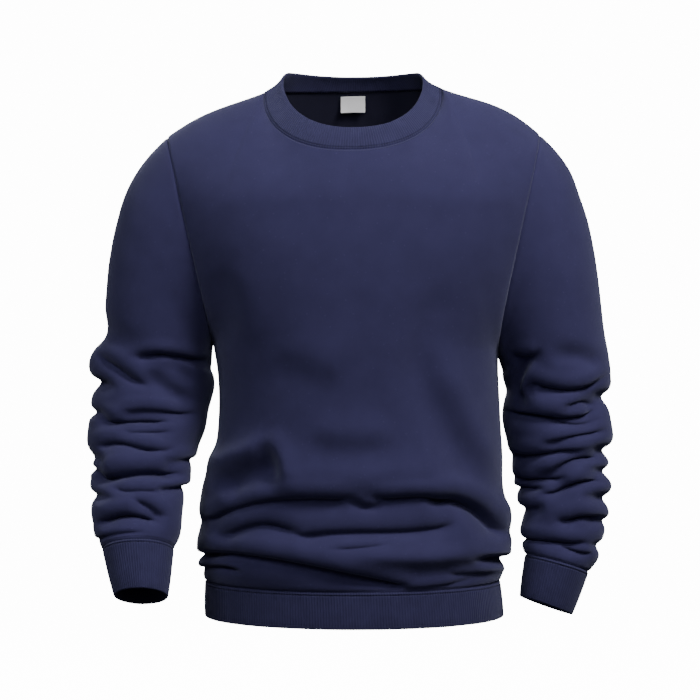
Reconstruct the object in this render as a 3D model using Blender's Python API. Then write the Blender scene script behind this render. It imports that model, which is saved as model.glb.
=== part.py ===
# Crew neck sweatshirt, filled out as it is when worn, with each cut piece as its own wall of cloth.
# All sizes are millimetres until a mesh is made. x runs from the wearer's right sleeve to the left
# one, y from front to back and z up. The origin is the middle of the neck opening, level with the
# neck ends of the shoulder seams, where the wearer's shoulders hold the garment up.

import math
from collections import namedtuple

import bmesh
import bpy
import numpy as np

MM = 0.001

# Cloth
WALL = 2.0
RIB_WALL = 2.4
LABEL_WALL = 0.6
SEAM_GAP = 0.3
RIB_RISE = 0.8
SMOOTHING = 3

# Body
HEM_SEAM = -585.0
HEM = -627.0
HEM_FLARE = 1.012
HEM_SHIFT = 2.0
NECK_SHARE = 0.6
YOKE_SHARE = 0.6
RIGHT_SHOULDER_RISE = 5.0
LEFT_SHOULDER_RISE = 8.0
ROUNDNESS = 0.87

# Folds are measured round a sleeve as arcs on this radius
SLEEVE_RADIUS = 60.0

# Grid sizes
PANEL_COLUMNS = 20
BODY_ROWS = 17
BODY_DENSE_ROWS = 12
DENSE_SHARE = 0.46
ARMHOLE_ROWS = 6
SHOULDER_ROWS = 4
SLEEVE_COLUMNS = 20
CAP_ROWS = 9
CAP_LENGTH = 262.0
ARM_ROWS = 27

# Wales of the 1 x 1 rib in each stretch between two seam points, about 3.2 mm each
NECK_WALES = 7
WAIST_WALES = 8
CUFF_WALES = 3

# Seam between body and sleeve, as four control points from the underarm to the shoulder tip
Armhole = namedtuple("Armhole", "underarm front_low front_high back_low back_high tip")
ARMHOLES = {
    -1: Armhole((-167.4, 0, -302), (-164, -95, -300), (-218, -95, -60),
                (-163, 85, -298), (-216, 92, -62), (-222.6, 3, -56)),
    1: Armhole((173.5, 0, -314), (162, -95, -306), (222, -95, -58),
               (162, 85, -304), (220, 92, -60), (223.2, 3, -54)),
}

# Half widths of the body at its side seams
Side = namedtuple("Side", "z right left")
SIDES = (
    Side(-585, 177.0, 176.0),
    Side(-570, 183.5, 182.0),
    Side(-541, 187.5, 190.0),
    Side(-516, 183.0, 186.5),
    Side(-498, 183.0, 182.0),
    Side(-460, 176.0, 177.5),
    Side(-430, 165.0, 176.0),
    Side(-400, 161.5, 176.0),
    Side(-350, 161.0, 174.0),
    Side(-326, 162.5, 172.8),
    Side(-302, 167.4, 173.5),
)

# Depths of the body at its middle and at the corners of each half, and how far in the corners lie
Depth = namedtuple("Depth", "z front front_corner back back_corner inset")
DEPTHS = (
    Depth(-585, 123, 70, 108, 62, 0),
    Depth(-570, 130, 74, 115, 66, 0),
    Depth(-541, 137, 78, 123, 70, 0),
    Depth(-516, 136, 78, 122, 70, 0),
    Depth(-496, 133, 76, 119, 68, 0),
    Depth(-460, 130, 75, 116, 66, 0),
    Depth(-400, 127, 73, 114, 65, 0),
    Depth(-350, 127, 73, 115, 66, 0),
    Depth(-307, 128, 75, 117, 68, 0),
    Depth(-270, 128, 86, 118, 80, 8),
    Depth(-200, 126, 99, 119, 93, 30),
    Depth(-140, 118, 98, 114, 92, 40),
)

# How the panel's columns arrive at its top edge: share of the half width, reach of the column's
# start and end, and the end's lean from upright
Arrival = namedtuple("Arrival", "share start end lean")
ARRIVALS = (
    Arrival(0.0, 0.5, 70, 28),
    Arrival(0.3, 0.6, 90, 35),
    Arrival(0.5, 0.8, 118, 62),
    Arrival(0.6, 0.9, 122, 82),
    Arrival(1.0, 1.0, 118, 88),
)

# Neck seam and top edge of the neckband: half width, then depth and height at front, side and
# back, and how far the wearer's left side is raised and the right one lowered
Ring = namedtuple("Ring", "half_width front_y front_z side_y side_z back_y back_z tilt")
NECK_SEAM = Ring(107, -95, -79, 8, 2.5, 75, 4, 2.5)
NECK_TOP = Ring(84.5, -75, -51.5, 12, 25, 65, 26, 0)

# Cross sections along each sleeve, from the armhole to the cuff: the outer and inner edge as the
# front shows them, the middle's y, the half depth and the lean of the arm towards the front
Section = namedtuple("Section", "along outer_x outer_z inner_x inner_z y depth lean")
SLEEVES = {
    -1: (
        Section(0, -222.6, -56, -167.4, -302, 0, 80, 0),
        Section(30, -245, -79, -168.6, -307, 1, 79, 0),
        Section(65, -266, -109, -169.2, -312, 2, 77, 0),
        Section(115, -283, -155, -169.6, -318, 4, 74, 0),
        Section(168, -292.5, -207, -170, -325, 5, 71, 0),
        Section(218, -297, -256, -170.6, -334, 6, 69, 1),
        Section(262, -299.5, -297, -170.5, -344, 7, 68, 2),
        Section(276, -311, -309, -170.9, -350, 8, 68, 3),
        Section(292, -315.5, -324, -171.5, -357, 8, 68, 4),
        Section(305, -314.5, -337, -172.2, -364, 7, 68, 5),
        Section(340, -315, -370, -174.6, -381, 4, 67, 8),
        Section(376, -317, -406, -178, -404, -4, 65, 13),
        Section(411, -314.5, -441, -186, -430, -18, 61, 18),
        Section(440, -311.5, -469, -191, -457, -34, 56, 21),
        Section(474, -305, -503, -198, -491, -55, 50, 24),
        Section(497, -300, -524, -202.5, -522, -68, 44, 25),
        Section(515, -290, -541, -209.4, -539, -78, 37, 25),
        Section(572, -273, -590.5, -211.6, -590, -104, 29, 27),
    ),
    1: (
        Section(0, 223.2, -54, 173.5, -314, 0, 80, 0),
        Section(29, 243.6, -75, 175, -318, 1, 79, 0),
        Section(54, 258.7, -95, 176, -322, 1, 78, 0),
        Section(85, 271.6, -123, 176.8, -326, 2, 77, 0),
        Section(119, 282.2, -155, 177.6, -331, 3, 75, 0),
        Section(152, 288.7, -187.5, 178.4, -337, 4, 73, 0),
        Section(187, 294, -222, 178.2, -344, 5, 71, 0),
        Section(222, 298.3, -256, 179.5, -352, 6, 70, 1),
        Section(256, 302.6, -290, 181, -361, 6, 69, 1),
        Section(288, 307, -322, 182.5, -371, 6, 68, 2),
        Section(318, 308, -352, 184, -383, 5, 68, 3),
        Section(350, 308, -384, 183, -400, 3, 66, 4),
        Section(383, 312, -417, 185, -420, 0, 63, 6),
        Section(413, 310, -447, 190.5, -442, -4, 59, 8),
        Section(448, 309, -482, 195, -472, -10, 54, 9),
        Section(480, 304, -513, 198, -498, -17, 48, 9),
        Section(505, 296, -538, 199.5, -523, -22, 44, 9),
        Section(525, 288, -558, 201, -539, -26, 41, 9),
        Section(541, 277, -573, 203.6, -551.5, -29, 37, 9),
        Section(591, 258.5, -621, 196.6, -599, -37, 30, 9),
    ),
}
SEAM_SECTION = -2
END_SECTION = -1
CAP_FADE = 215.0

# A fold runs from one end to the other, bowed upwards in its middle. The crease has a depth and a
# half width, and its two lips stand up by the height of the ridge.
Fold = namedtuple("Fold", "x0 z0 x1 z1 bow depth width ridge")
FRONT_FOLDS = (
    Fold(-174, -512, 194, -533, 45, 9, 9, 2.5),
    Fold(-165, -527, 135, -507, 3, 3, 9, 1.0),
    Fold(-210, -553, 64, -583, 13, 11, 8, 2.5),
    Fold(8, -549, 212, -559, -1, 10, 8, 2.0),
    Fold(-45, -538, 40, -528, 2, 2.5, 7, 0.8),
    Fold(-165, -561, -125, -573, 2, 3, 6, 0.8),
    Fold(-174, -455, -80, -430, -3, 7, 14, 1.5),
    Fold(-84, -428, -76, -472, 2, 4, 12, 1.0),
    Fold(75, -300, 186, -499, -14, 5, 18, 1.0),
    Fold(-55, -408, 52, -418, 0, 3, 18, 0),
    Fold(-88, -328, -8, -345, 0, 2.5, 18, 0),
    Fold(-140, -225, -152, -322, 0, 4, 16, 0.5),
    Fold(96, -236, 55, -352, 0, 3, 20, 0),
)
BACK_FOLDS = (
    Fold(-190, -530, 176, -514, 40, 8, 9, 2.5),
    Fold(-130, -508, 160, -529, 4, 3, 9, 1.0),
    Fold(-66, -581, 212, -558, 11, 10, 8, 2.5),
    Fold(-210, -555, -20, -551, -2, 10, 8, 2.0),
    Fold(70, -433, 172, -452, -3, 6, 14, 1.2),
    Fold(-180, -492, -84, -310, 12, 5, 18, 1.0),
    Fold(-60, -415, 58, -404, 0, 3, 18, 0),
    Fold(-95, -130, -20, -96, 0, 2, 16, 0),
    Fold(20, -96, 95, -130, 0, 2, 16, 0),
    Fold(-146, -232, -150, -318, 0, 3.5, 16, 0.5),
    Fold(146, -236, 152, -326, 0, 3.5, 16, 0.5),
)

# Folds of the sleeves: the same, with degrees round the sleeve in place of x. 0 is the outer edge,
# 90 the front, 180 the inner edge and 270 the back.
SLEEVE_FOLDS = {
    -1: (
        Fold(70, -319, 160, -320, 2, 4.5, 7, 1.5),
        Fold(5, -312, 84, -357, 4, 6, 8, 2.0),
        Fold(-55, -344, 45, -352, 2, 13, 8, 1.5),
        Fold(48, -384, 142, -387, 5, 4.5, 6, 1.2),
        Fold(-60, -384, 116, -397, 3, 9, 6, 1.5),
        Fold(54, -402, 126, -408, 3, 3.5, 5, 1.0),
        Fold(140, -372, 235, -378, 1, 4, 7, 1.0),
        Fold(12, -441, 146, -431, 16, 8, 6, 2.0),
        Fold(-70, -451, 175, -460, 6, 11, 6, 2.0),
        Fold(148, -435, 250, -443, 1, 6, 7, 1.0),
        Fold(68, -465, 124, -475, 1, 2.5, 6, 0.8),
        Fold(-60, -479, 50, -484, 1, 8, 6, 1.2),
        Fold(78, -478, 152, -511, 3, 5, 6, 1.2),
        Fold(15, -512, 152, -524, 19, 7, 6, 1.8),
        Fold(-75, -527, 62, -532, 2, 4, 5, 1.0),
        Fold(150, -492, 245, -488, 2, 4.5, 6, 1.0),
        Fold(205, -334, 292, -350, 6, 6, 8, 1.5),
        Fold(240, -382, 330, -374, 6, 6, 7, 1.5),
        Fold(195, -408, 290, -404, 6, 5, 7, 1.2),
        Fold(235, -430, 335, -436, 8, 6, 7, 1.5),
        Fold(190, -466, 300, -470, 8, 6, 7, 1.5),
        Fold(230, -508, 325, -500, 8, 5, 6, 1.2),
    ),
    1: (
        Fold(108, -314, 186, -318, 1, 5.5, 8, 1.2),
        Fold(122, -335, 172, -346, 0, 5, 13, 0),
        Fold(117, -316, 115, -367, 14, 5, 6, 1.2),
        Fold(12, -339, 116, -346, -9, 7, 7, 1.8),
        Fold(4, -334, 106, -319, 5, 3, 7, 0.8),
        Fold(-60, -363, 38, -369, 2, 12, 7, 1.5),
        Fold(-25, -381, 82, -374, 5, 6, 6, 1.5),
        Fold(22, -383, 215, -379, -5, 6.5, 6, 1.5),
        Fold(8, -387, 102, -391, -5, 4, 5, 1.0),
        Fold(-5, -401, 116, -423, 2, 6, 6, 1.5),
        Fold(-65, -428, 44, -433, 2, 14, 7, 1.5),
        Fold(58, -426, 122, -430, 2, 4, 5, 1.0),
        Fold(108, -431, 215, -428, 0, 5, 6, 1.2),
        Fold(4, -443, 132, -447, 8, 5.5, 6, 1.5),
        Fold(-65, -454, 38, -457, 1, 12, 6, 1.2),
        Fold(80, -459, 205, -455, 0, 6.5, 7, 1.5),
        Fold(-5, -468, 122, -480, 13, 7, 6, 1.8),
        Fold(-60, -484, 42, -488, 1, 12, 6, 1.2),
        Fold(-60, -515, 106, -513, 10, 9, 6, 1.5),
        Fold(120, -496, 225, -492, 3, 4.5, 6, 1.0),
        Fold(44, -535, 162, -529, 3, 4.5, 5, 1.0),
        Fold(8, -550, 82, -539, 1, 4, 5, 1.0),
        Fold(200, -348, 296, -338, 6, 6, 8, 1.5),
        Fold(225, -392, 320, -404, 6, 6, 7, 1.5),
        Fold(195, -420, 285, -412, 5, 5, 7, 1.2),
        Fold(230, -446, 330, -440, 8, 6, 7, 1.5),
        Fold(190, -478, 300, -474, 8, 6, 7, 1.5),
        Fold(225, -516, 322, -522, 8, 5, 6, 1.2),
    ),
}

LABEL_WIDTH = 30.0
LABEL_TOP = 1.0
LABEL_BOTTOM = -18.0
LABEL_COLUMNS = 4
LABEL_ROWS = 3

Finish = namedtuple("Finish", "colour roughness")
FLEECE = Finish((0.034, 0.036, 0.098, 1.0), 0.92)
RIB = Finish((0.030, 0.033, 0.088, 1.0), 0.9)
LABEL_CLOTH = Finish((0.78, 0.78, 0.80, 1.0), 0.6)


# Curves

def follow(rows, key, column, where):
    """A column of a table at `where`, on a smooth curve through the table's rows."""
    at = np.array([getattr(row, key) for row in rows], float)
    value = np.array([getattr(row, column) for row in rows], float)
    slope = np.gradient(value, at)
    where = np.clip(where, at[0], at[-1])
    i = np.clip(np.searchsorted(at, where, side="right") - 1, 0, len(at) - 2)
    span = at[i + 1] - at[i]
    t = (where - at[i]) / span
    from_start = (1 + 2 * t) * (1 - t) ** 2 * value[i] + t * (1 - t) ** 2 * span * slope[i]
    from_end = t * t * (3 - 2 * t) * value[i + 1] - t * t * (1 - t) * span * slope[i + 1]
    return from_start + from_end


def bezier(p0, p1, p2, p3, t):
    """Points on a cubic curve, for an array of parameters."""
    t = np.asarray(t, float)[..., None]
    ends = (1 - t) ** 3 * np.asarray(p0, float) + t ** 3 * np.asarray(p3, float)
    handles = np.asarray(p1, float) * (1 - t) + np.asarray(p2, float) * t
    return ends + 3 * t * (1 - t) * handles


def unit(vectors):
    return vectors / np.maximum(np.linalg.norm(vectors, axis=-1, keepdims=True), 1e-9)


def ring_points(ring, turn, face):
    """Half of a neck ring: turn runs from -90 on the right side to 90 on the left one."""
    turn = np.radians(turn)
    across = np.sign(turn) * np.abs(np.sin(turn)) ** ROUNDNESS
    middle = np.abs(np.cos(turn)) ** ROUNDNESS
    y, z = (ring.front_y, ring.front_z) if face < 0 else (ring.back_y, ring.back_z)
    return np.stack([ring.half_width * across,
                     ring.side_y + (y - ring.side_y) * middle,
                     ring.side_z + (z - ring.side_z) * middle + ring.tilt * across], axis=-1)


def fold_relief(folds, x, z):
    """Height of the folded surface above the smooth one."""
    relief = np.zeros(np.broadcast(x, z).shape)
    for fold in folds:
        dx, dz = fold.x1 - fold.x0, fold.z1 - fold.z0
        length = math.hypot(dx, dz)
        share = ((x - fold.x0) * dx + (z - fold.z0) * dz) / length ** 2
        aside = ((z - fold.z0) * dx - (x - fold.x0) * dz) / length
        crest = fold.bow * (1 - np.abs(np.clip(2 * share - 1, -1, 1)) ** 2.4)
        fade = np.sin(math.pi * np.clip(share, 0, 1)) ** 0.7
        reach = np.abs(aside - crest) / fold.width
        crease = np.exp(-1.3 * reach ** 1.4)
        lips = np.exp(-((reach - 1.9) / 0.8) ** 2)
        relief += fade * (fold.ridge * lips - fold.depth * crease)
    return relief


# Body panels: share runs from -1 at the wearer's right to 1 at the left. step runs from 0 at the
# waistband to 1 at the underarm, 2 at the yoke line and 3 at the neck and shoulder seams.

def armhole_point(side, face, t):
    """Point on the armhole: t is 0 at the underarm and 1 at the shoulder tip."""
    hole = ARMHOLES[side]
    low, high = (hole.front_low, hole.front_high) if face < 0 else (hole.back_low, hole.back_high)
    return bezier(hole.underarm, low, high, hole.tip, t)


def armhole_share(step):
    return np.where(step < 2, YOKE_SHARE * (step - 1), YOKE_SHARE + (1 - YOKE_SHARE) * (step - 2))


def edge_point(side, face, step):
    """Point on the panel's side edge: up the side seam, then round the armhole."""
    underarm = ARMHOLES[side].underarm
    z = HEM_SEAM + (underarm[2] - HEM_SEAM) * np.minimum(step, 1)
    width = follow(SIDES, "z", "left" if side > 0 else "right", z)
    seam = np.stack([side * width, np.zeros_like(z), z], axis=-1)
    hole = armhole_point(side, face, np.clip(armhole_share(step), 0, 1))
    return np.where((step <= 1)[..., None], seam, hole)


def body_point(face, share, step):
    """Smooth body below the yoke line, as a half section from the middle to each side edge."""
    right, left = edge_point(-1, face, step), edge_point(1, face, step)
    blend = ((1 + share) / 2)[..., None]
    z = (right * (1 - blend) + left * blend)[..., 2]
    edge = np.where((share < 0)[..., None], right, left)
    middle = follow(DEPTHS, "z", "front" if face < 0 else "back", z)
    corner = follow(DEPTHS, "z", "front_corner" if face < 0 else "back_corner", z)
    inset = follow(DEPTHS, "z", "inset", z)
    side = np.where(share < 0, -1.0, 1.0)
    zero = np.zeros_like(z)
    start = np.stack([zero, face * middle], axis=-1)
    handle = np.stack([0.55 * edge[..., 0], face * middle], axis=-1)
    bend = np.stack([edge[..., 0] - side * inset, face * corner], axis=-1)
    flat = bezier(start, handle, bend, edge[..., :2], np.abs(share))
    return np.concatenate([flat, z[..., None]], axis=-1)


def top_point(face, share):
    """Neck seam in the middle, shoulder seams on both sides."""
    neck = ring_points(NECK_SEAM, 90 * np.clip(share / NECK_SHARE, -1, 1), face)
    out = np.clip((np.abs(share) - NECK_SHARE) / (1 - NECK_SHARE), 0, 1)
    tip = np.where((share < 0)[..., None], ARMHOLES[-1].tip, ARMHOLES[1].tip)
    seam = neck * (1 - out[..., None]) + tip * out[..., None]
    rise = np.where(share < 0, RIGHT_SHOULDER_RISE, LEFT_SHOULDER_RISE)
    seam[..., 2] += rise * np.sin(math.pi * out ** 1.5)
    return seam


def yoke_point(face, share, step):
    """Smooth shoulder above the yoke line, as columns that roll over to the top edge."""
    small = 0.02
    two = np.full_like(step, 2.0)
    start = body_point(face, share, two)
    climb = (start - body_point(face, share, two - small)) / small * (1 - YOKE_SHARE) / YOKE_SHARE
    climb = climb * follow(ARRIVALS, "share", "start", np.abs(share))[..., None]
    lean = np.radians(follow(ARRIVALS, "share", "lean", np.abs(share)))
    pull = follow(ARRIVALS, "share", "end", np.abs(share))
    arrive = np.stack([np.zeros_like(pull), -face * pull * np.sin(lean), pull * np.cos(lean)], axis=-1)
    end = top_point(face, share)
    inner = bezier(start, start + climb / 3, end - arrive / 3, end, np.clip(step - 2, 0, 1))
    side = edge_point(-1, face, step), edge_point(1, face, step)
    edge = np.where((share < 0)[..., None], *side)
    return np.where((np.abs(share) > 1 - 1e-6)[..., None], edge, inner)


def smooth_panel(face, share, step):
    share, step = np.broadcast_arrays(np.asarray(share, float), np.asarray(step, float))
    low = body_point(face, share, np.minimum(step, 2))
    return np.where((step <= 2)[..., None], low, yoke_point(face, share, step))


def grid_normals(points, closed=False):
    """Normals of a grid of points, as the mean of the cells round each point by their area."""
    if closed:
        points = np.concatenate([points, points[:, :1]], axis=1)
    cells = np.cross(points[1:, 1:] - points[:-1, :-1], points[1:, :-1] - points[:-1, 1:])
    normals = np.zeros_like(points)
    for row in (0, 1):
        for column in (0, 1):
            normals[row:row + len(cells), column:column + cells.shape[1]] += cells
    if closed:
        normals[:, 0] += normals[:, -1]
        normals = normals[:, :-1]
    return unit(normals)


def panel_grid(face, shares, steps):
    """Folded panel as rows of points, with its outward normals."""
    shares, steps = np.meshgrid(shares, steps)
    points = smooth_panel(face, shares, steps)
    normals = -face * grid_normals(points)
    calm = np.clip(3.2 - steps, 0, 1) * np.clip((1 - np.abs(shares)) / 0.08, 0, 1) ** 0.5
    calm = np.where(steps < 1, np.clip(3.2 - steps, 0, 1), calm)
    calm = calm * np.clip((points[..., 2] - HEM_SEAM) / 10, 0, 1)
    folds = FRONT_FOLDS if face < 0 else BACK_FOLDS
    points = points + normals * (calm * fold_relief(folds, points[..., 0], points[..., 2]))[..., None]
    return points, -face * grid_normals(points)


# Sleeves: along is the distance from the armhole, turn the degrees round the arm

def sleeve_section(side, along, turn):
    """Smooth oval section of a sleeve."""
    def column(name):
        return follow(SLEEVES[side], "along", name, along)

    turn = np.radians(turn)[..., None]
    outer = np.stack([column("outer_x"), column("y"), column("outer_z")], axis=-1)
    inner = np.stack([column("inner_x"), column("y"), column("inner_z")], axis=-1)
    lean = np.radians(column("lean"))
    forward = np.stack([np.zeros_like(lean), -np.cos(lean), np.sin(lean)], axis=-1)
    across = np.cos(turn) * (outer - inner) / 2
    return (outer + inner) / 2 + across + np.sin(turn) * forward * column("depth")[..., None]


def smooth_sleeve(side, along, turn):
    along, turn = np.broadcast_arrays(np.asarray(along, float), np.asarray(turn, float))
    front = np.mod(turn, 360) <= 180
    t = np.abs(1 - np.mod(turn, 360) / 180)
    seam = np.where(front[..., None], armhole_point(side, -1, t), armhole_point(side, 1, t))
    start = sleeve_section(side, np.zeros_like(along), turn)
    fade = np.clip(1 - along / CAP_FADE, 0, 1)
    fade = (fade * fade * (3 - 2 * fade))[..., None]
    return sleeve_section(side, along, turn) + fade * (seam - start)


def sleeve_grid(side, alongs, turns):
    """Folded sleeve as rings of points, with its outward normals."""
    turns, alongs = np.meshgrid(turns, alongs)
    points = smooth_sleeve(side, alongs, turns)
    outwards = side * grid_normals(points, closed=True)
    relief = np.zeros_like(turns)
    for lap in (-360, 0):
        arc = np.radians(turns + lap) * SLEEVE_RADIUS
        folds = [fold._replace(x0=math.radians(fold.x0) * SLEEVE_RADIUS,
                               x1=math.radians(fold.x1) * SLEEVE_RADIUS)
                 for fold in SLEEVE_FOLDS[side]]
        relief += fold_relief(folds, arc, points[..., 2])
    end = SLEEVES[side][SEAM_SECTION].along
    calm = np.clip((end - alongs) / 12, 0, 1)
    points = points + outwards * (calm * relief)[..., None]
    return points, side * grid_normals(points, closed=True)


# Walls

def seam_offset(normals, wall):
    """Step from the outer to the inner edge of a wall where two or more pieces meet."""
    total = sum(normals) + np.array([0, 0, -0.25])
    middle = unit(total)
    share = sum(np.sum(middle * normal, axis=-1, keepdims=True) for normal in normals) / len(normals)
    return -middle * wall / np.clip(share, 0.5, 1)


def finish_object(name, mesh_builder, finish):
    """Named object from a bmesh in millimetres, with its own material."""
    mesh_builder.normal_update()
    bmesh.ops.recalc_face_normals(mesh_builder, faces=mesh_builder.faces)
    bmesh.ops.scale(mesh_builder, vec=(MM, MM, MM), verts=mesh_builder.verts)
    mesh = bpy.data.meshes.new(name)
    mesh_builder.to_mesh(mesh)
    mesh_builder.free()
    mesh.shade_smooth()
    mesh.set_sharp_from_angle(angle=math.radians(50))
    material = bpy.data.materials.new(name + "_cloth")
    material.use_nodes = True
    shader = material.node_tree.nodes["Principled BSDF"]
    shader.inputs["Base Color"].default_value = finish.colour
    shader.inputs["Roughness"].default_value = finish.roughness
    shader.inputs["Metallic"].default_value = 0.0
    mesh.materials.append(material)
    piece = bpy.data.objects.new(name, mesh)
    bpy.context.scene.collection.objects.link(piece)
    return piece


def cloth_wall(name, outer, inner, closed, finish):
    """Wall between two grids of points: a sheet, or a tube where it is closed."""
    rows, columns = outer.shape[:2]
    across = columns if closed else columns - 1
    sheet = bmesh.new()
    bmesh.ops.create_grid(sheet, x_segments=across, y_segments=rows - 1, size=1)
    for vert in sheet.verts:
        column = round((vert.co.x + 1) / 2 * across)
        row = round((vert.co.y + 1) / 2 * (rows - 1))
        vert.co = (column % columns, row, 0)
    if closed:
        bmesh.ops.remove_doubles(sheet, verts=sheet.verts, dist=0.1)
    made = bmesh.ops.extrude_face_region(sheet, geom=list(sheet.faces), use_keep_orig=True)
    for vert in (item for item in made["geom"] if isinstance(item, bmesh.types.BMVert)):
        vert.co.z = 1
    for vert in sheet.verts:
        layer = inner if vert.co.z > 0.5 else outer
        vert.co = layer[round(vert.co.y), round(vert.co.x)]
    return finish_object(name, sheet, finish)


def on_chords(loop, count):
    """Points spaced evenly along the straight stretches of a closed loop."""
    share = np.arange(count) * len(loop) / count
    start = np.floor(share).astype(int)
    part = (share - start)[:, None]
    return loop[start] * (1 - part) + loop[(start + 1) % len(loop)] * part


def rib_band(name, outer_loops, inner_loops, wales, finish):
    """Tube of 1 x 1 rib: raised wales outside, plain inside. Loops run from top to bottom."""
    corners = len(outer_loops[0])
    each = 2 * wales
    count = corners * each
    outer = np.stack([on_chords(loop, count) for loop in outer_loops])
    outwards = grid_normals(outer[:2] if len(outer) == 2 else outer, closed=True)
    centre = outer.mean(axis=(0, 1))
    facing = np.sign(np.sum(outwards * (outer - centre), axis=-1, keepdims=True).sum())
    outer = outer + outwards * facing * np.where(np.arange(count) % 2, RIB_RISE, 0.0)[None, :, None]
    band = bmesh.new()
    face_rings = [[band.verts.new(point) for point in ring] for ring in outer]
    back_rings = [[band.verts.new(point) for point in ring] for ring in inner_loops]
    for rings in (face_rings, back_rings):
        size = len(rings[0])
        for upper, lower in zip(rings, rings[1:]):
            for i in range(size):
                j = (i + 1) % size
                band.faces.new((upper[i], upper[j], lower[j], lower[i]))
    turning = (wales + 1) // 2
    for edge, back in ((face_rings[0], back_rings[0]), (face_rings[-1], back_rings[-1])):
        for i in range(corners):
            near, far = back[i], back[(i + 1) % corners]
            run = [edge[(i * each + k) % count] for k in range(each + 1)]
            for k in range(wales):
                low, crown, following = run[2 * k:2 * k + 3]
                band.faces.new((low, crown, following))
                band.faces.new((low, following, near if k < turning else far))
            band.faces.new((near, run[2 * turning], far))
    return finish_object(name, band, finish)


def half_gap(seam, step, ours, theirs, closed=False):
    """Half the gap of a seam, square to the joint. Each side is its next points and its normals."""
    if closed:
        along = np.roll(seam, -1, axis=0) - np.roll(seam, 1, axis=0)
    else:
        along = np.gradient(seam, axis=0)
    across = unit(np.cross(along, step))
    apart = unit(ours[0] - seam) - unit(theirs[0] - seam) + (theirs[1] - ours[1]) / 2
    side = np.sign(np.sum(across * apart, axis=-1, keepdims=True))
    return across * side * SEAM_GAP / 2


# Garment

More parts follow.
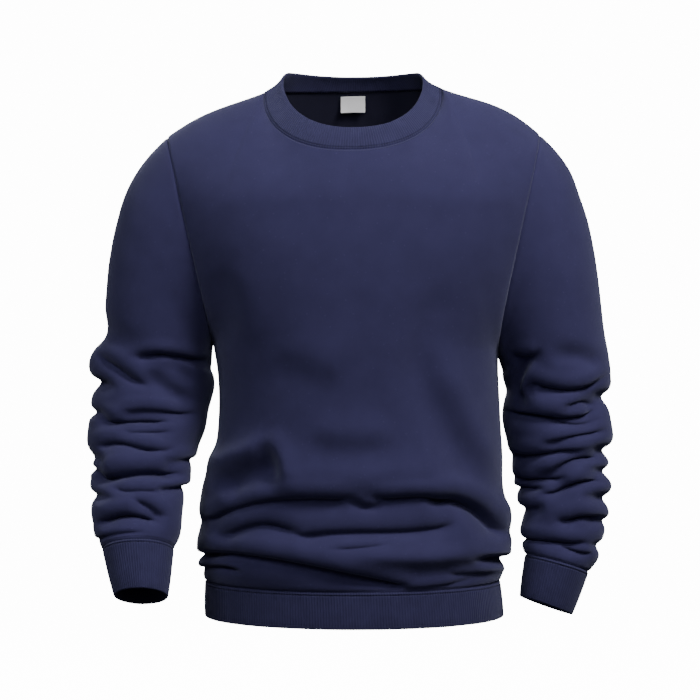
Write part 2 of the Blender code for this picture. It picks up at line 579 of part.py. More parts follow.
def build_garment():
    """Panels and sleeves, then the bands that share their seams."""
    dense = np.linspace(0, DENSE_SHARE, BODY_DENSE_ROWS + 1)
    loose = np.linspace(DENSE_SHARE, 1, BODY_ROWS - BODY_DENSE_ROWS + 1)[1:]
    armhole = np.linspace(1, 2, ARMHOLE_ROWS + 1)[1:]
    shoulder = np.linspace(2, 3, SHOULDER_ROWS + 1)[1:]
    steps = np.concatenate([dense, loose, armhole, shoulder])
    shares = np.linspace(-1, 1, PANEL_COLUMNS + 1)
    underarm_row = BODY_ROWS
    top_row = len(steps) - 1

    faces = (-1, 1)
    panels = {face: panel_grid(face, shares, steps) for face in faces}
    outer = {face: panels[face][0].copy() for face in faces}
    normal = {face: panels[face][1] for face in faces}
    offset = {face: -WALL * normal[face] for face in faces}
    move = {face: np.zeros_like(outer[face]) for face in faces}

    sides = (-1, 1)
    sleeve_alongs = {}
    sleeves = {}
    for side in sides:
        end = SLEEVES[side][SEAM_SECTION].along
        cap = np.linspace(0, CAP_LENGTH, CAP_ROWS + 1)
        arm = np.linspace(CAP_LENGTH, end, ARM_ROWS + 1)[1:]
        sleeve_alongs[side] = np.concatenate([cap, arm])
        turns = np.arange(SLEEVE_COLUMNS) * 360 / SLEEVE_COLUMNS
        sleeves[side] = sleeve_grid(side, sleeve_alongs[side], turns)

    # Side seams and shoulder seams join the two panels
    neck_columns = np.abs(shares) < NECK_SHARE + 1e-6
    for column in (0, PANEL_COLUMNS):
        seam = np.s_[:underarm_row + 1, column]
        shared = (outer[-1][seam] + outer[1][seam]) / 2
        step = seam_offset([normal[-1][seam], normal[1][seam]], WALL)
        beside = np.s_[:underarm_row + 1, abs(column - 1)]
        pieces = [(outer[face][beside], normal[face][seam]) for face in faces]
        gap = half_gap(shared, step, *pieces)
        for face in faces:
            outer[face][seam], offset[face][seam] = shared, step
            move[face][seam] -= face * gap
    half = PANEL_COLUMNS // 2
    for columns in (np.arange(half), np.arange(half + 1, PANEL_COLUMNS + 1)):
        columns = columns[np.abs(shares[columns]) > NECK_SHARE - 1e-6]
        seam = np.s_[top_row, columns]
        step = seam_offset([normal[face][seam] for face in faces], WALL)
        pieces = [(outer[face][top_row - 1, columns], normal[face][seam]) for face in faces]
        gap = half_gap(outer[-1][seam], step, *pieces)
        for face in faces:
            offset[face][seam] = step
            move[face][seam] -= face * gap

    # Armholes join each sleeve to both panels. Ring points count from the shoulder tip forwards.
    half_turn = SLEEVE_COLUMNS // 2
    for side in sides:
        column = 0 if side < 0 else PANEL_COLUMNS
        points, ring_normal = sleeves[side][0], sleeves[side][1][0]
        places, beside, panel_normal = [], [], []
        for k in range(SLEEVE_COLUMNS):
            row = top_row - min(k, SLEEVE_COLUMNS - k)
            joined = faces if k in (0, half_turn) else (-1,) if k < half_turn else (1,)
            places.append((row, joined))
            points[0, k] = outer[joined[0]][row, column]
            beside.append(sum(outer[face][row, abs(column - 1)] for face in joined) / len(joined))
            panel_normal.append(sum(normal[face][row, column] for face in joined) / len(joined))
        panel_normal = unit(np.array(panel_normal))
        step = seam_offset([panel_normal, ring_normal], WALL)
        gap = half_gap(points[0], step, (np.array(beside), panel_normal),
                       (points[1], ring_normal), closed=True)
        for k, (row, joined) in enumerate(places):
            for face in joined:
                offset[face][row, column] = step[k]
                move[face][row, column] += gap[k]
        points[0] -= gap
        sleeves[side] = (points, sleeves[side][1], step)

    # Neck seam: one loop from the right neck point round the front and back again
    front_neck = np.flatnonzero(neck_columns)
    back_neck = front_neck[::-1][1:-1]
    neck_order = [(-1, c) for c in front_neck] + [(1, c) for c in back_neck]
    seam_loop = np.array([outer[face][top_row, c] for face, c in neck_order])
    seam_normal = np.array([normal[face][top_row, c] for face, c in neck_order])
    turns = np.linspace(-90, 90, len(front_neck))
    top_loop = np.concatenate([ring_points(NECK_TOP, turns, -1),
                               ring_points(NECK_TOP, turns[::-1][1:-1], 1)])
    band_normal = grid_normals(np.stack([top_loop, seam_loop]), closed=True)[0]
    band_normal *= np.sign(np.sum(band_normal * (seam_loop - seam_loop.mean(axis=0))))
    neck_offset = seam_offset([seam_normal, band_normal], WALL)
    for _ in range(SMOOTHING):
        beside = np.roll(neck_offset, 1, axis=0) + np.roll(neck_offset, -1, axis=0)
        neck_offset = (2 * neck_offset + beside) / 4
    below = np.array([outer[face][top_row - 1, c] for face, c in neck_order])
    gap = half_gap(seam_loop, neck_offset, (below, seam_normal), (top_loop, band_normal), closed=True)
    for (face, c), step, way in zip(neck_order, neck_offset, gap):
        for joined in (faces if c in (front_neck[0], front_neck[-1]) else (face,)):
            offset[joined][top_row, c] = step
            move[joined][top_row, c] += way
    low = seam_loop - gap
    rib_band("neckband", [top_loop, low],
             [top_loop - RIB_WALL * band_normal, low + neck_offset * RIB_WALL / WALL],
             NECK_WALES, RIB)

    # Waist seam: one loop round the front from right to left, then round the back
    columns = np.arange(PANEL_COLUMNS + 1)
    waist_order = [(-1, c) for c in columns] + [(1, c) for c in columns[::-1][1:-1]]
    waist_loop = np.array([outer[face][0, c] for face, c in waist_order])
    waist_normal = np.array([normal[face][0, c] for face, c in waist_order])
    hem_loop = waist_loop * np.array([HEM_FLARE, HEM_FLARE, 0]) + np.array([HEM_SHIFT, 0, HEM])
    flat_normal = unit((waist_normal + 1e-9) * np.array([1, 1, 0]))
    waist_offset = seam_offset([waist_normal, flat_normal], WALL)
    above = np.array([outer[face][1, c] for face, c in waist_order])
    gap = half_gap(waist_loop, waist_offset, (above, waist_normal), (hem_loop, flat_normal), closed=True)
    for (face, c), step, way in zip(waist_order, waist_offset, gap):
        for joined in (faces if c in (0, PANEL_COLUMNS) else (face,)):
            offset[joined][0, c] = step
            move[joined][0, c] += way
    high = waist_loop - gap
    rib_band("waistband", [high, hem_loop],
             [high + waist_offset * RIB_WALL / WALL, hem_loop - RIB_WALL * flat_normal],
             WAIST_WALES, RIB)

    for face in faces:
        points = outer[face] + move[face]
        inside = points + offset[face]
        cloth_wall("front_panel" if face < 0 else "back_panel", points, inside, False, FLEECE)
        if face > 0:
            build_label(inside, normal[face])

    # Sleeves and cuffs
    for side in sides:
        points, normals, ring_offset = sleeves[side]
        inner_step = -WALL * normals
        inner_step[0] = ring_offset
        end = SLEEVES[side][SEAM_SECTION].along
        cuff_end = SLEEVES[side][END_SECTION].along
        turns = np.arange(SLEEVE_COLUMNS) * 360 / SLEEVE_COLUMNS
        cuff_top = sleeve_section(side, np.full_like(turns, end), turns)
        cuff_low = sleeve_section(side, np.full_like(turns, cuff_end), turns)
        cuff_normal = side * grid_normals(np.stack([cuff_top, cuff_low]), closed=True)[0]
        step = seam_offset([normals[-1], cuff_normal], WALL)
        inner_step[-1] = step
        gap = half_gap(cuff_top, step, (points[-2], normals[-1]), (cuff_low, cuff_normal), closed=True)
        points[-1] = cuff_top + gap
        word = "left" if side > 0 else "right"
        cloth_wall("sleeve_" + word, points, points + inner_step, True, FLEECE)
        cuff_top = cuff_top - gap
        rib_band("cuff_" + word, [cuff_top, cuff_low],
                 [cuff_top + step * RIB_WALL / WALL, cuff_low - RIB_WALL * cuff_normal],
                 CUFF_WALES, RIB)


def build_label(inside, normals):
    """Blank neck label, flat on the inside of the back panel just under the neck seam."""
    middle = PANEL_COLUMNS // 2
    below, above = inside[-2], inside[-1]
    heights = (below[middle, 2], above[middle, 2])
    rows = np.interp(np.linspace(LABEL_BOTTOM, LABEL_TOP, LABEL_ROWS + 1), heights, (0, 1))
    half_share = LABEL_WIDTH / 2 / (below[middle + 1, 0] + above[middle + 1, 0]) * 2
    points, outwards = [], []
    for row in rows:
        line = below * (1 - row) + above * row
        facing = normals[-2] * (1 - row) + normals[-1] * row
        places = middle + np.linspace(-half_share, half_share, LABEL_COLUMNS + 1)
        columns = np.arange(PANEL_COLUMNS + 1)
        points.append([[np.interp(c, columns, line[:, k]) for k in range(3)] for c in places])
        outwards.append([[np.interp(c, columns, facing[:, k]) for k in range(3)] for c in places])
    outwards = unit(np.array(outwards))
    near = np.array(points) - outwards * SEAM_GAP
    cloth_wall("neck_label", near, near - outwards * LABEL_WALL, False, LABEL_CLOTH)


def main():
    for item in list(bpy.data.objects):
        bpy.data.objects.remove(item, do_unlink=True)
    build_garment()


main()
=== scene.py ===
# A crew neck sweatshirt in navy brushed jersey with ribbed neckband, waistband and cuffs, filled out
# as it is when worn. All sizes are millimetres until a mesh is made. x runs towards the wearer's
# left sleeve, y to the back and z up, from the middle of the neck opening.

import math
from collections import namedtuple

import bmesh
import bpy
import numpy as np
from mathutils import Matrix, Vector


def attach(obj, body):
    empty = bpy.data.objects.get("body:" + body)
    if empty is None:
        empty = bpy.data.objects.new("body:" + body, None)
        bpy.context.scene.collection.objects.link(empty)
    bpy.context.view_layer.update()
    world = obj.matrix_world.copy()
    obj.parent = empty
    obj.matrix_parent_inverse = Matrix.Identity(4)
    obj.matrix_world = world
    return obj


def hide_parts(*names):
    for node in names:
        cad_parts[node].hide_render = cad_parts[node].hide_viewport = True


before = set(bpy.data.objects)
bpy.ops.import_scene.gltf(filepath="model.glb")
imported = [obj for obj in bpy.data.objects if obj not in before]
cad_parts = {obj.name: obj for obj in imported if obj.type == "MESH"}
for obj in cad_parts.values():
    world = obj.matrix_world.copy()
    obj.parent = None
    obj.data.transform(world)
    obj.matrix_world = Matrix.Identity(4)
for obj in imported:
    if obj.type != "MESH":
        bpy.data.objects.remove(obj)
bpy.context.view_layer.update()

MM = 0.001

# Body: the hem seam and hem, how much wider and further left the hem is, the neck's share of the
# half width, the yoke line's share of the armhole, the rise of each shoulder seam and how far this
# lies towards the arm, and how round the neck rings and the body's sections are
HEM_SEAM = -585.0
HEM = -627.0
HEM_FLARE = 1.012
HEM_SHIFT = 2.0
NECK_SHARE = 0.6
YOKE_SHARE = 0.6
RIGHT_SHOULDER_RISE = 6.0
LEFT_SHOULDER_RISE = 9.5
SHOULDER_EASE = 1.5
ROUNDNESS = 0.87
SECTION_ROUNDNESS = 0.55

# Seam between body and sleeve, as four control points from the underarm to the shoulder tip
Armhole = namedtuple("Armhole", "underarm front_low front_high back_low back_high tip")
ARMHOLES = {
    -1: Armhole((-167.4, 0, -302), (-164, -95, -300), (-218, -95, -60),
                (-163, 85, -298), (-216, 92, -62), (-223.2, 3, -55)),
    1: Armhole((173.5, 0, -314), (162, -95, -306), (222, -95, -58),
               (162, 85, -304), (220, 92, -60), (224.4, 3, -51.8)),
}

# Half widths of the body at its side seams
Side = namedtuple("Side", "z right left")
SIDES = [Side(*row) for row in (
    (-585, 177, 176),
    (-570, 183.5, 182),
    (-541, 187.5, 190),
    (-516, 183, 186.5),
    (-498, 184.2, 183.5),
    (-460, 177, 178),
    (-430, 165, 176),
    (-400, 161.5, 176),
    (-350, 161, 174),
    (-326, 162.5, 172.8),
    (-302, 167.4, 173.5),
)]

# Depths of the body at its middle and at the corners of each half, and how far in the corners lie
Depth = namedtuple("Depth", "z front front_corner back back_corner inset")
DEPTHS = [Depth(*row) for row in (
    (-585, 123, 70, 108, 62, 0),
    (-570, 130, 74, 115, 66, 0),
    (-541, 137, 78, 123, 70, 0),
    (-516, 136, 78, 122, 70, 0),
    (-496, 133, 76, 119, 68, 0),
    (-460, 130, 75, 116, 66, 0),
    (-400, 127, 73, 114, 65, 0),
    (-350, 127, 73, 115, 66, 0),
    (-307, 128, 75, 117, 68, 0),
    (-270, 128, 86, 118, 80, 8),
    (-200, 126, 99, 119, 93, 30),
    (-140, 118, 98, 114, 92, 40),
)]

# How the panel's columns arrive at its top edge: share of the half width, reach of the column's
# start and end, and the end's lean from upright
Arrival = namedtuple("Arrival", "share start end lean")
ARRIVALS = [Arrival(*row) for row in (
    (0, 0.5, 70, 28),
    (0.3, 0.6, 90, 35),
    (0.5, 0.8, 118, 62),
    (0.6, 0.9, 122, 82),
    (1, 1, 118, 88),
)]

# Neck seam and top edge of the neckband: half width, then depth and height at front, side and
# back, and how far the wearer's left side is raised and the right one lowered
Ring = namedtuple("Ring", "half_width front_y front_z side_y side_z back_y back_z tilt")
NECK_SEAM = Ring(107, -95, -79, 8, 2.5, 75, 10, 2.5)
NECK_TOP = Ring(84.5, -75, -51.5, 12, 22, 65, 26, 0)

# Cross sections along each sleeve, from the armhole to the cuff: the outer and inner edge as the
# front shows them, the middle's y, the half depth and the lean of the arm towards the front
Section = namedtuple("Section", "along outer_x outer_z inner_x inner_z y depth lean")
RIGHT_SLEEVE = [Section(*row) for row in (
    (0, -223.2, -55, -167.4, -302, 0, 80, 0),
    (30, -246, -78, -168.6, -307, 1, 79, 0),
    (65, -267, -108.5, -169.2, -312, 2, 77, 0),
    (115, -283, -155, -169.6, -318, 4, 74, 0),
    (168, -292.5, -207, -170, -325, 5, 71, 0),
    (218, -297, -256, -170.6, -334, 6, 69, 1),
    (262, -299.5, -297, -167, -344, 7, 68, 2),
    (276, -311, -309, -166.5, -350, 8, 68, 3),
    (292, -318, -324, -167, -357, 8, 68, 4),
    (305, -317.5, -337, -168.8, -364, 7, 68, 5),
    (340, -315, -370, -173.4, -381, 4, 67, 8),
    (376, -317, -406, -177, -404, -4, 65, 13),
    (411, -316.5, -441, -186, -430, -18, 61, 18),
    (440, -311.5, -469, -191, -457, -34, 56, 21),
    (474, -305, -503, -198, -491, -55, 50, 24),
    (497, -300, -524, -200.5, -522, -68, 44, 25),
    (515, -290, -541, -207.4, -539, -78, 37, 25),
    (572, -273, -591.5, -211.6, -591, -104, 29, 27),
)]
LEFT_SLEEVE = [Section(*row) for row in (
    (0, 224.4, -51.8, 173.5, -314, 0, 80, 0),
    (29, 245.6, -72.5, 175, -318, 1, 79, 0),
    (54, 260.2, -93.5, 176, -322, 1, 78, 0),
    (85, 271.6, -123, 176.8, -326, 2, 77, 0),
    (119, 282.2, -155, 177.6, -331, 3, 75, 0),
    (152, 288.7, -187.5, 178.4, -337, 4, 73, 0),
    (187, 294, -222, 178.2, -344, 5, 71, 0),
    (222, 298.3, -256, 179.5, -352, 6, 70, 1),
    (256, 302.6, -290, 181, -361, 6, 69, 1),
    (288, 308.5, -322, 180, -371, 6, 68, 2),
    (318, 311, -352, 178.5, -383, 5, 68, 3),
    (350, 309.5, -384, 180.5, -400, 3, 66, 4),
    (383, 312, -417, 185, -420, 0, 63, 6),
    (413, 310, -447, 189, -442, -4, 59, 8),
    (448, 309, -482, 190.5, -472, -10, 54, 9),
    (480, 304, -513, 198, -498, -17, 48, 9),
    (505, 296, -538, 199.5, -523, -22, 44, 9),
    (525, 290.5, -558, 198, -539, -26, 41, 9),
    (541, 278.5, -573, 203.6, -551.5, -29, 37, 9),
    (591, 258.2, -622, 196.6, -600, -37, 30, 9),
)]
SLEEVES = {-1: RIGHT_SLEEVE, 1: LEFT_SLEEVE}

# The sections at the cuff's seam and free edge, and how far down a sleeve the armhole's form fades out
SEAM_SECTION = -2
END_SECTION = -1
CAP_FADE = 215.0

# Thickness of the cloth, and the seams: how far the edges dip, over what width, how much the cloth
# thins there, and how far a panel is moved along with its edge
JERSEY_WALL = 2.0
BAND_WALL = 2.6
SEAM_DEPTH = 1.3
SEAM_REACH = 2.2
SEAM_THINNING = 0.9
EDGE_REACH = 12.0

# Grid sizes, and how far rows and columns are drawn together: towards the hem, at both ends of the
# armhole, at the shoulders and the neck, at both ends of the sleeve cap and towards the cuff
ARMHOLE_STEPS = 84
NECK_COLUMNS = 92
SHOULDER_COLUMNS = 42
HEM_ROWS = 8
FOLDED_ROWS = 92
CHEST_ROWS = 30
CAP_ROWS = 54
ARM_ROWS = 150
HEM_SHARE = 0.045
FOLDED_SHARE = 0.52
CAP_LENGTH = 262.0
HEM_EASE = 1.5
ARMHOLE_EASE = 0.75
COLUMN_EASE = 0.6
NECK_EASE = 0.3
CAP_EASE = 0.55
ARM_EASE = 1.12

# The panel's columns follow the height of the armhole from this share outwards, and the start of
# their even rise inside it
EDGE_HOLD = 0.7
EVEN_START = 0.7

# The front is seen from this far in front of the garment's middle, in half this angle. Creases
# stand where it shows them, counted across from its left edge and down from its top one in steps
# of this size.
VIEW_X = -3.6
VIEW_Y = -2200.0
VIEW_Z = -310.0
HALF_VIEW = 10.8
VIEW_STEP = 1.2
VIEW_MIDDLE = 350.0
GARMENT_MIDDLE = 353.0

# A crease runs through four places. It has a depth and a half width, its lips stand up, and its
# upper lip hangs over it by a share of the width. One without lips is a soft hollow, or a soft
# bulge where its depth is below zero, and its hang makes it a soft step down from its upper side.
Crease = namedtuple("Crease", "a0 d0 a1 d1 a2 d2 a3 d3 depth width lip hang")

# Points on its path, rounds in which the nearest place on it is found, the length over which it
# fades out at each end, the most that this is of the whole, and its share where both lips are alike
PATH_POINTS = 49
PATH_ROUNDS = 3
END_FADE = 22.0
END_MOST = 0.3
OPEN_END = 0.45

# Its section, in half widths from its middle upwards: how far it is looked for, the reach of a soft
# step, the shares and reaches of the trough under the upper lip and on the lower side, and the
# reach and middle of one lip, of a pair of lips and of the hang
CREASE_REACH = 4
STEP_REACH = 1.7
UPPER_TROUGH = ((0.7, 0.75), (0.3, 2.0))
LOWER_TROUGH = ((0.4, 0.8), (0.6, 2.0))
ONE_LIP = (1.1, 1.5)
ONE_LIP_HEIGHT = 1.6
TWO_LIPS = (0.9, 1.9)
HANG = (0.82, 0.9)

BODY_CREASES = [Crease(*row) for row in (
    (199, 526, 242, 505, 298, 498, 358, 500, 9, 8, 2, 0.6),
    (348, 496, 358, 504, 370, 507, 387, 500, 5.5, 5, 0.5, 0.2),
    (368, 499, 398, 497, 426, 496, 456, 500, 9, 7, 2.2, 0.6),
    (424, 496, 459, 499, 488, 514, 512, 546, 17, 10, 3.2, 0.6),
    (496, 496, 508, 512, 514, 530, 513, 548, -3, 8, 0, 0),
    (206, 540, 240, 528, 268, 524, 308, 541, 9.5, 10, 1.6, 0.5),
    (290, 539, 345, 532, 402, 531, 466, 522, 9.5, 10, 1.4, 0.45),
    (326, 551, 350, 549, 372, 547, 394, 543, 2.5, 4, 0.8, 0.4),
    (196, 553, 252, 557, 330, 572, 418, 592, 11, 10, 2.4, 0.5),
    (392, 590, 422, 589, 450, 585, 480, 579, 3, 4, 1, 0.5),
    (340, 559, 396, 565, 446, 564, 500, 556, 5, 8, 0, 1),
    (174, 554, 194, 554.5, 208, 555, 224, 557, 9, 3.5, 1, 0),
    (180, 569, 206, 568, 224, 569, 243, 575, 5.5, 3.5, 1.6, 0.3),
    (446, 577, 462, 576, 480, 575, 500, 574, 3, 5, 1, 0.3),
    (470, 561, 492, 560.5, 515, 560, 540, 560, 10, 5, 2.4, 0),
    (209, 484, 232, 472, 256, 463, 284, 452, 17, 12, 0, 0.8),
    (220, 518, 310, 498, 400, 497, 490, 518, 8, 22, 0, 1),
    (260, 436, 271, 450, 278, 470, 279, 498, 8, 9, 0, 0.9),
    (416, 322, 444, 402, 468, 448, 494, 494, 9, 14, 0, 0.8),
    (300, 440, 332, 447, 366, 448, 404, 441, 6.5, 15, 0, 0.7),
    (262, 352, 292, 366, 322, 378, 352, 388, 4, 18, 0, 0.7),
    (222, 262, 230, 290, 232, 320, 226, 356, 4.5, 16, 0, 0.5),
    (446, 276, 428, 312, 416, 350, 408, 400, 4, 20, 0, -0.4),
)]

RIGHT_CREASES = [Crease(*row) for row in (
    (132, 363, 155, 354, 186, 357, 212, 362, 8.5, 6, 1.8, 0.6),
    (92, 351, 108, 362, 128, 376, 155, 393, 9, 8, 1.2, 0.4),
    (136, 370, 158, 383, 178, 395, 200, 412, 7, 11, 0, 0),
    (166, 359, 176, 366, 186, 373, 200, 382, 4, 11, 0, 0),
    (48, 381, 76, 382, 98, 384, 122, 392, 13, 8, 1.6, 0),
    (114, 415, 142, 409, 170, 411, 206, 414, 7.5, 6, 1.6, 0.7),
    (52, 411, 76, 411, 96, 412, 118, 418, 8, 5, 1, 0),
    (94, 417, 118, 420, 146, 419, 178, 425, 9.5, 7, 2.2, 0.8),
    (112, 426, 134, 431, 155, 431, 178, 434, 5, 5, 1.4, 0.6),
    (92, 452, 110, 441, 134, 444, 168, 455, 9, 7, 2.2, 0.8),
    (138, 443, 151, 446, 163, 449, 178, 448, 3.5, 4, 0.8, 0.5),
    (158, 458, 174, 460, 192, 460, 216, 458, 6, 6, 1.2, 0.3),
    (84, 476, 112, 473, 148, 468.5, 192, 478, 15, 8, 2.6, 0.9),
    (48, 468, 76, 468.5, 98, 469.5, 120, 473, 8, 4, 1.2, 0),
    (56, 453, 76, 456, 92, 460, 108, 466, 10, 11, 0, 0),
    (102, 482, 124, 489, 145, 489, 170, 496, 6, 6, 1.4, 0.6),
    (154, 486, 170, 488, 188, 487, 212, 483, 8, 5, 1.4, 0.3),
    (48, 493, 76, 494, 98, 496, 124, 500, 8, 6, 0.8, 0),
    (128, 498, 144, 502, 156, 509, 169, 521, 9, 6, 1.6, 0.7),
    (94, 528, 112, 515, 140, 514, 168, 528, 12, 7, 2.2, 0.85),
    (88, 542, 108, 536, 128, 533, 152, 533, 5, 4, 1.2, 0.5),
)]
LEFT_CREASES = [Crease(*row) for row in (
    (508, 354, 519, 356, 531, 356, 543, 351, 6, 6, 1.4, 0.6),
    (536, 353, 518, 371, 514, 392, 542, 401, 12, 8.5, 3, 0.1),
    (536, 382, 531, 387, 530, 392, 536, 398, 4, 4, 0.8, 0),
    (515, 366, 516, 376, 519, 386, 524, 398, 3, 8, 0, -0.6),
    (526, 383, 552, 387, 582, 387, 614, 371, 9, 7, 2, 0.8),
    (546, 356, 570, 355, 590, 359, 609, 370, 5, 11, 0, 0),
    (574, 394, 596, 396, 622, 398, 650, 399, 12, 9, 1.4, 0),
    (556, 409, 577, 402, 592, 401, 612, 407, 8.5, 6, 1.8, 0.8),
    (498, 411.5, 532, 413, 572, 416, 612, 404, 13, 8, 2.4, 0.9),
    (546, 418, 566, 423, 586, 423, 610, 416, 6, 4, 1.4, 0.7),
    (536, 446, 562, 438, 588, 433, 613, 429, 8, 6, 1.8, 0.8),
    (502, 452, 532, 453.5, 562, 450, 600, 450.5, 10, 7, 2, 0.8),
    (576, 450, 600, 450.5, 624, 451, 652, 451, 13, 8, 1, 0),
    (526, 468, 556, 465, 582, 457, 614, 464, 9, 6, 2.2, 0.85),
    (576, 471, 600, 471, 624, 471, 652, 470, 11, 7, 1, 0),
    (504, 476, 526, 477, 550, 477, 576, 479, 13, 9, 1.8, 0.85),
    (536, 497, 561, 488, 585, 480, 615, 485, 9.5, 6, 2.2, 0.85),
    (576, 497, 600, 498, 624, 499, 652, 499, 11, 8, 1.2, 0),
    (492, 488, 512, 488, 528, 489, 546, 487, 8, 5, 1.4, 0.3),
    (498, 506, 516, 508, 531, 509, 548, 506, 8, 8, 1.4, 0.3),
    (552, 525, 574, 517, 592, 515, 613, 519, 10, 7, 2.4, 0.85),
    (578, 522, 600, 522, 622, 522, 648, 522, 6, 5, 0.8, 0),
    (500, 534, 534, 538, 564, 541, 592, 544, 9, 6, 1.8, 0.8),
    (558, 545, 572, 550, 584, 553, 598, 554, 5, 4, 1.2, 0.6),
    (578, 545, 600, 546, 620, 548, 644, 549, 7, 6, 0.8, 0),
)]
SLEEVE_CREASES = {-1: RIGHT_CREASES, 1: LEFT_CREASES}

# The hidden side has the same creases mirrored from the other sleeve or side, lower and gentler.
# They take over from this share of the half width inwards, and within this angle on a sleeve.
BACK_DROP = 9.0
BACK_SHARE = 0.85
BACK_EDGE = 0.72
BACK_TURN = 65.0

# Where the folds die out: beside the armhole, as a share of the half width, from a step below the
# underarm up, in steps below the shoulder seam, and in millimetres at the hem seam, the armhole
# end of a sleeve and its cuff end
ARMHOLE_CALM = 0.08
CALM_STEP = 0.75
TOP_CALM = 0.3
HEM_CALM = 10.0
CAP_CALM = 20.0
CUFF_CALM = 12.0

# How far the cloth is evened out above and below the underarm, how many times, and how sharply
# this ends at the side seam
UNDERARM_REACH = 0.12
UNDERARM_ROUNDS = 40
UNDERARM_POWER = 24

# Slow unevenness of worn cloth: its height, the reach and the start of its waves on each part, and
# how each finer wave turns, quickens and weakens
UNEVEN = 0.8
BODY_WAVES = (42.0, 1.3)
SLEEVE_WAVES = (34.0, 2.1)
BAND_WAVES = (9.0, 0.7)
SLEEVE_RADIUS = 60.0
WAVES = 5
WAVE_TURN = 2.4
WAVE_START = 1.7
WAVE_PACE = 1.55
WAVE_WEAKENING = 0.62


# Smooth surfaces

def mix(first, second, share):
    return first * (1 - share) + second * share


def bell(place, reach, middle=0):
    """1 at its middle, and less on both sides of it."""
    return np.exp(-((place - middle) / reach) ** 2)


def smooth_share(share):
    share = np.clip(share, 0, 1)
    return share * share * (3 - 2 * share)


def curve(t, start, leave, end, arrive):
    """Smooth way between two values, with the slopes that it leaves and arrives with."""
    from_start = (1 + 2 * t) * (1 - t) ** 2 * start + t * (1 - t) ** 2 * leave
    return from_start + t * t * (3 - 2 * t) * end - t * t * (1 - t) * arrive


def follow(rows, columns, where):
    """Columns of a table at `where` in its first one, on smooth curves through the table's rows."""
    at = np.array([row[0] for row in rows], float)
    where = np.clip(where, at[0], at[-1])
    i = np.clip(np.searchsorted(at, where, side="right") - 1, 0, len(at) - 2)
    span = at[i + 1] - at[i]
    t = (where - at[i]) / span
    for column in columns.split():
        value = np.array([getattr(row, column) for row in rows], float)
        slope = np.gradient(value, at)
        yield curve(t, value[i], span * slope[i], value[i + 1], span * slope[i + 1])


def bezier(p0, p1, p2, p3, t):
    """Points on a cubic curve, for an array of parameters."""
    t = np.asarray(t, float)[..., None]
    ends = (1 - t) ** 3 * np.asarray(p0, float) + t ** 3 * np.asarray(p3, float)
    return ends + 3 * t * (1 - t) * mix(np.asarray(p1, float), np.asarray(p2, float), t)


def distance(points, other):
    return np.linalg.norm(points - other, axis=-1)


def unit(vectors):
    return vectors / np.maximum(np.linalg.norm(vectors, axis=-1, keepdims=True), 1e-9)


def ring_points(ring, turn, face):
    """Half of a neck ring: turn runs from -90 on the right side to 90 on the left one."""
    turn = np.radians(turn)
    across = np.sign(turn) * np.abs(np.sin(turn)) ** ROUNDNESS
    middle = np.abs(np.cos(turn)) ** ROUNDNESS
    y, z = (ring.front_y, ring.front_z) if face < 0 else (ring.back_y, ring.back_z)
    return np.stack([ring.half_width * across,
                     ring.side_y + (y - ring.side_y) * middle,
                     ring.side_z + (z - ring.side_z) * middle + ring.tilt * across], axis=-1)


def armhole_point(side, face, t):
    """Point on the armhole: t is 0 at the underarm and 1 at the shoulder tip."""
    hole = ARMHOLES[side]
    low, high = (hole.front_low, hole.front_high) if face < 0 else (hole.back_low, hole.back_high)
    return bezier(hole.underarm, low, high, hole.tip, t)


def edge_point(side, face, step):
    """Point on the panel's side edge: up the side seam, then round the armhole."""
    underarm = ARMHOLES[side].underarm
    z = HEM_SEAM + (underarm[2] - HEM_SEAM) * np.minimum(step, 1)
    width, = follow(SIDES, "left" if side > 0 else "right", z)
    seam = np.stack([side * width, np.zeros_like(z), z], axis=-1)
    share = np.where(step < 2, YOKE_SHARE * (step - 1), mix(YOKE_SHARE, 1, step - 2))
    return np.where((step <= 1)[..., None], seam, armhole_point(side, face, np.clip(share, 0, 1)))


def even_height(side, face, step):
    """Height that rises evenly from the underarm to the yoke line, for the panel's middle."""
    low = ARMHOLES[side].underarm[2]
    small = 0.01
    high, above = (armhole_point(side, face, YOKE_SHARE + more)[2] for more in (0, small))
    climb = (above - high) / small * YOKE_SHARE
    return curve(np.clip(step - 1, 0, 1), low, EVEN_START * (high - low), high, climb)


def body_point(face, share, step):
    """Smooth body below the yoke line, as a half section from the middle to each side edge."""
    right, left = edge_point(-1, face, step), edge_point(1, face, step)
    blend = (1 + share) / 2
    edge_z = mix(right[..., 2], left[..., 2], blend)
    even_z = mix(even_height(-1, face, step), even_height(1, face, step), blend)
    hold = smooth_share((np.abs(share) - EDGE_HOLD) / (1 - EDGE_HOLD))
    z = np.where(step > 1, mix(even_z, edge_z, hold), edge_z)
    edge = np.where((share < 0)[..., None], right, left)
    columns = "front front_corner inset" if face < 0 else "back back_corner inset"
    middle, corner, inset = follow(DEPTHS, columns, z)
    side = np.where(share < 0, -1.0, 1.0)
    start = np.stack([np.zeros_like(z), face * middle], axis=-1)
    handle = np.stack([SECTION_ROUNDNESS * edge[..., 0], face * middle], axis=-1)
    bend = np.stack([edge[..., 0] - side * inset, face * corner], axis=-1)
    flat = bezier(start, handle, bend, edge[..., :2], np.abs(share))
    return np.concatenate([flat, z[..., None]], axis=-1)


def top_point(face, share):
    """Neck seam in the middle, shoulder seams on both sides."""
    neck = ring_points(NECK_SEAM, 90 * np.clip(share / NECK_SHARE, -1, 1), face)
    out = np.clip((np.abs(share) - NECK_SHARE) / (1 - NECK_SHARE), 0, 1)
    tip = np.where((share < 0)[..., None], ARMHOLES[-1].tip, ARMHOLES[1].tip)
    seam = mix(neck, tip, out[..., None])
    rise = np.where(share < 0, RIGHT_SHOULDER_RISE, LEFT_SHOULDER_RISE)
    seam[..., 2] += rise * np.sin(math.pi * out ** SHOULDER_EASE)
    return seam


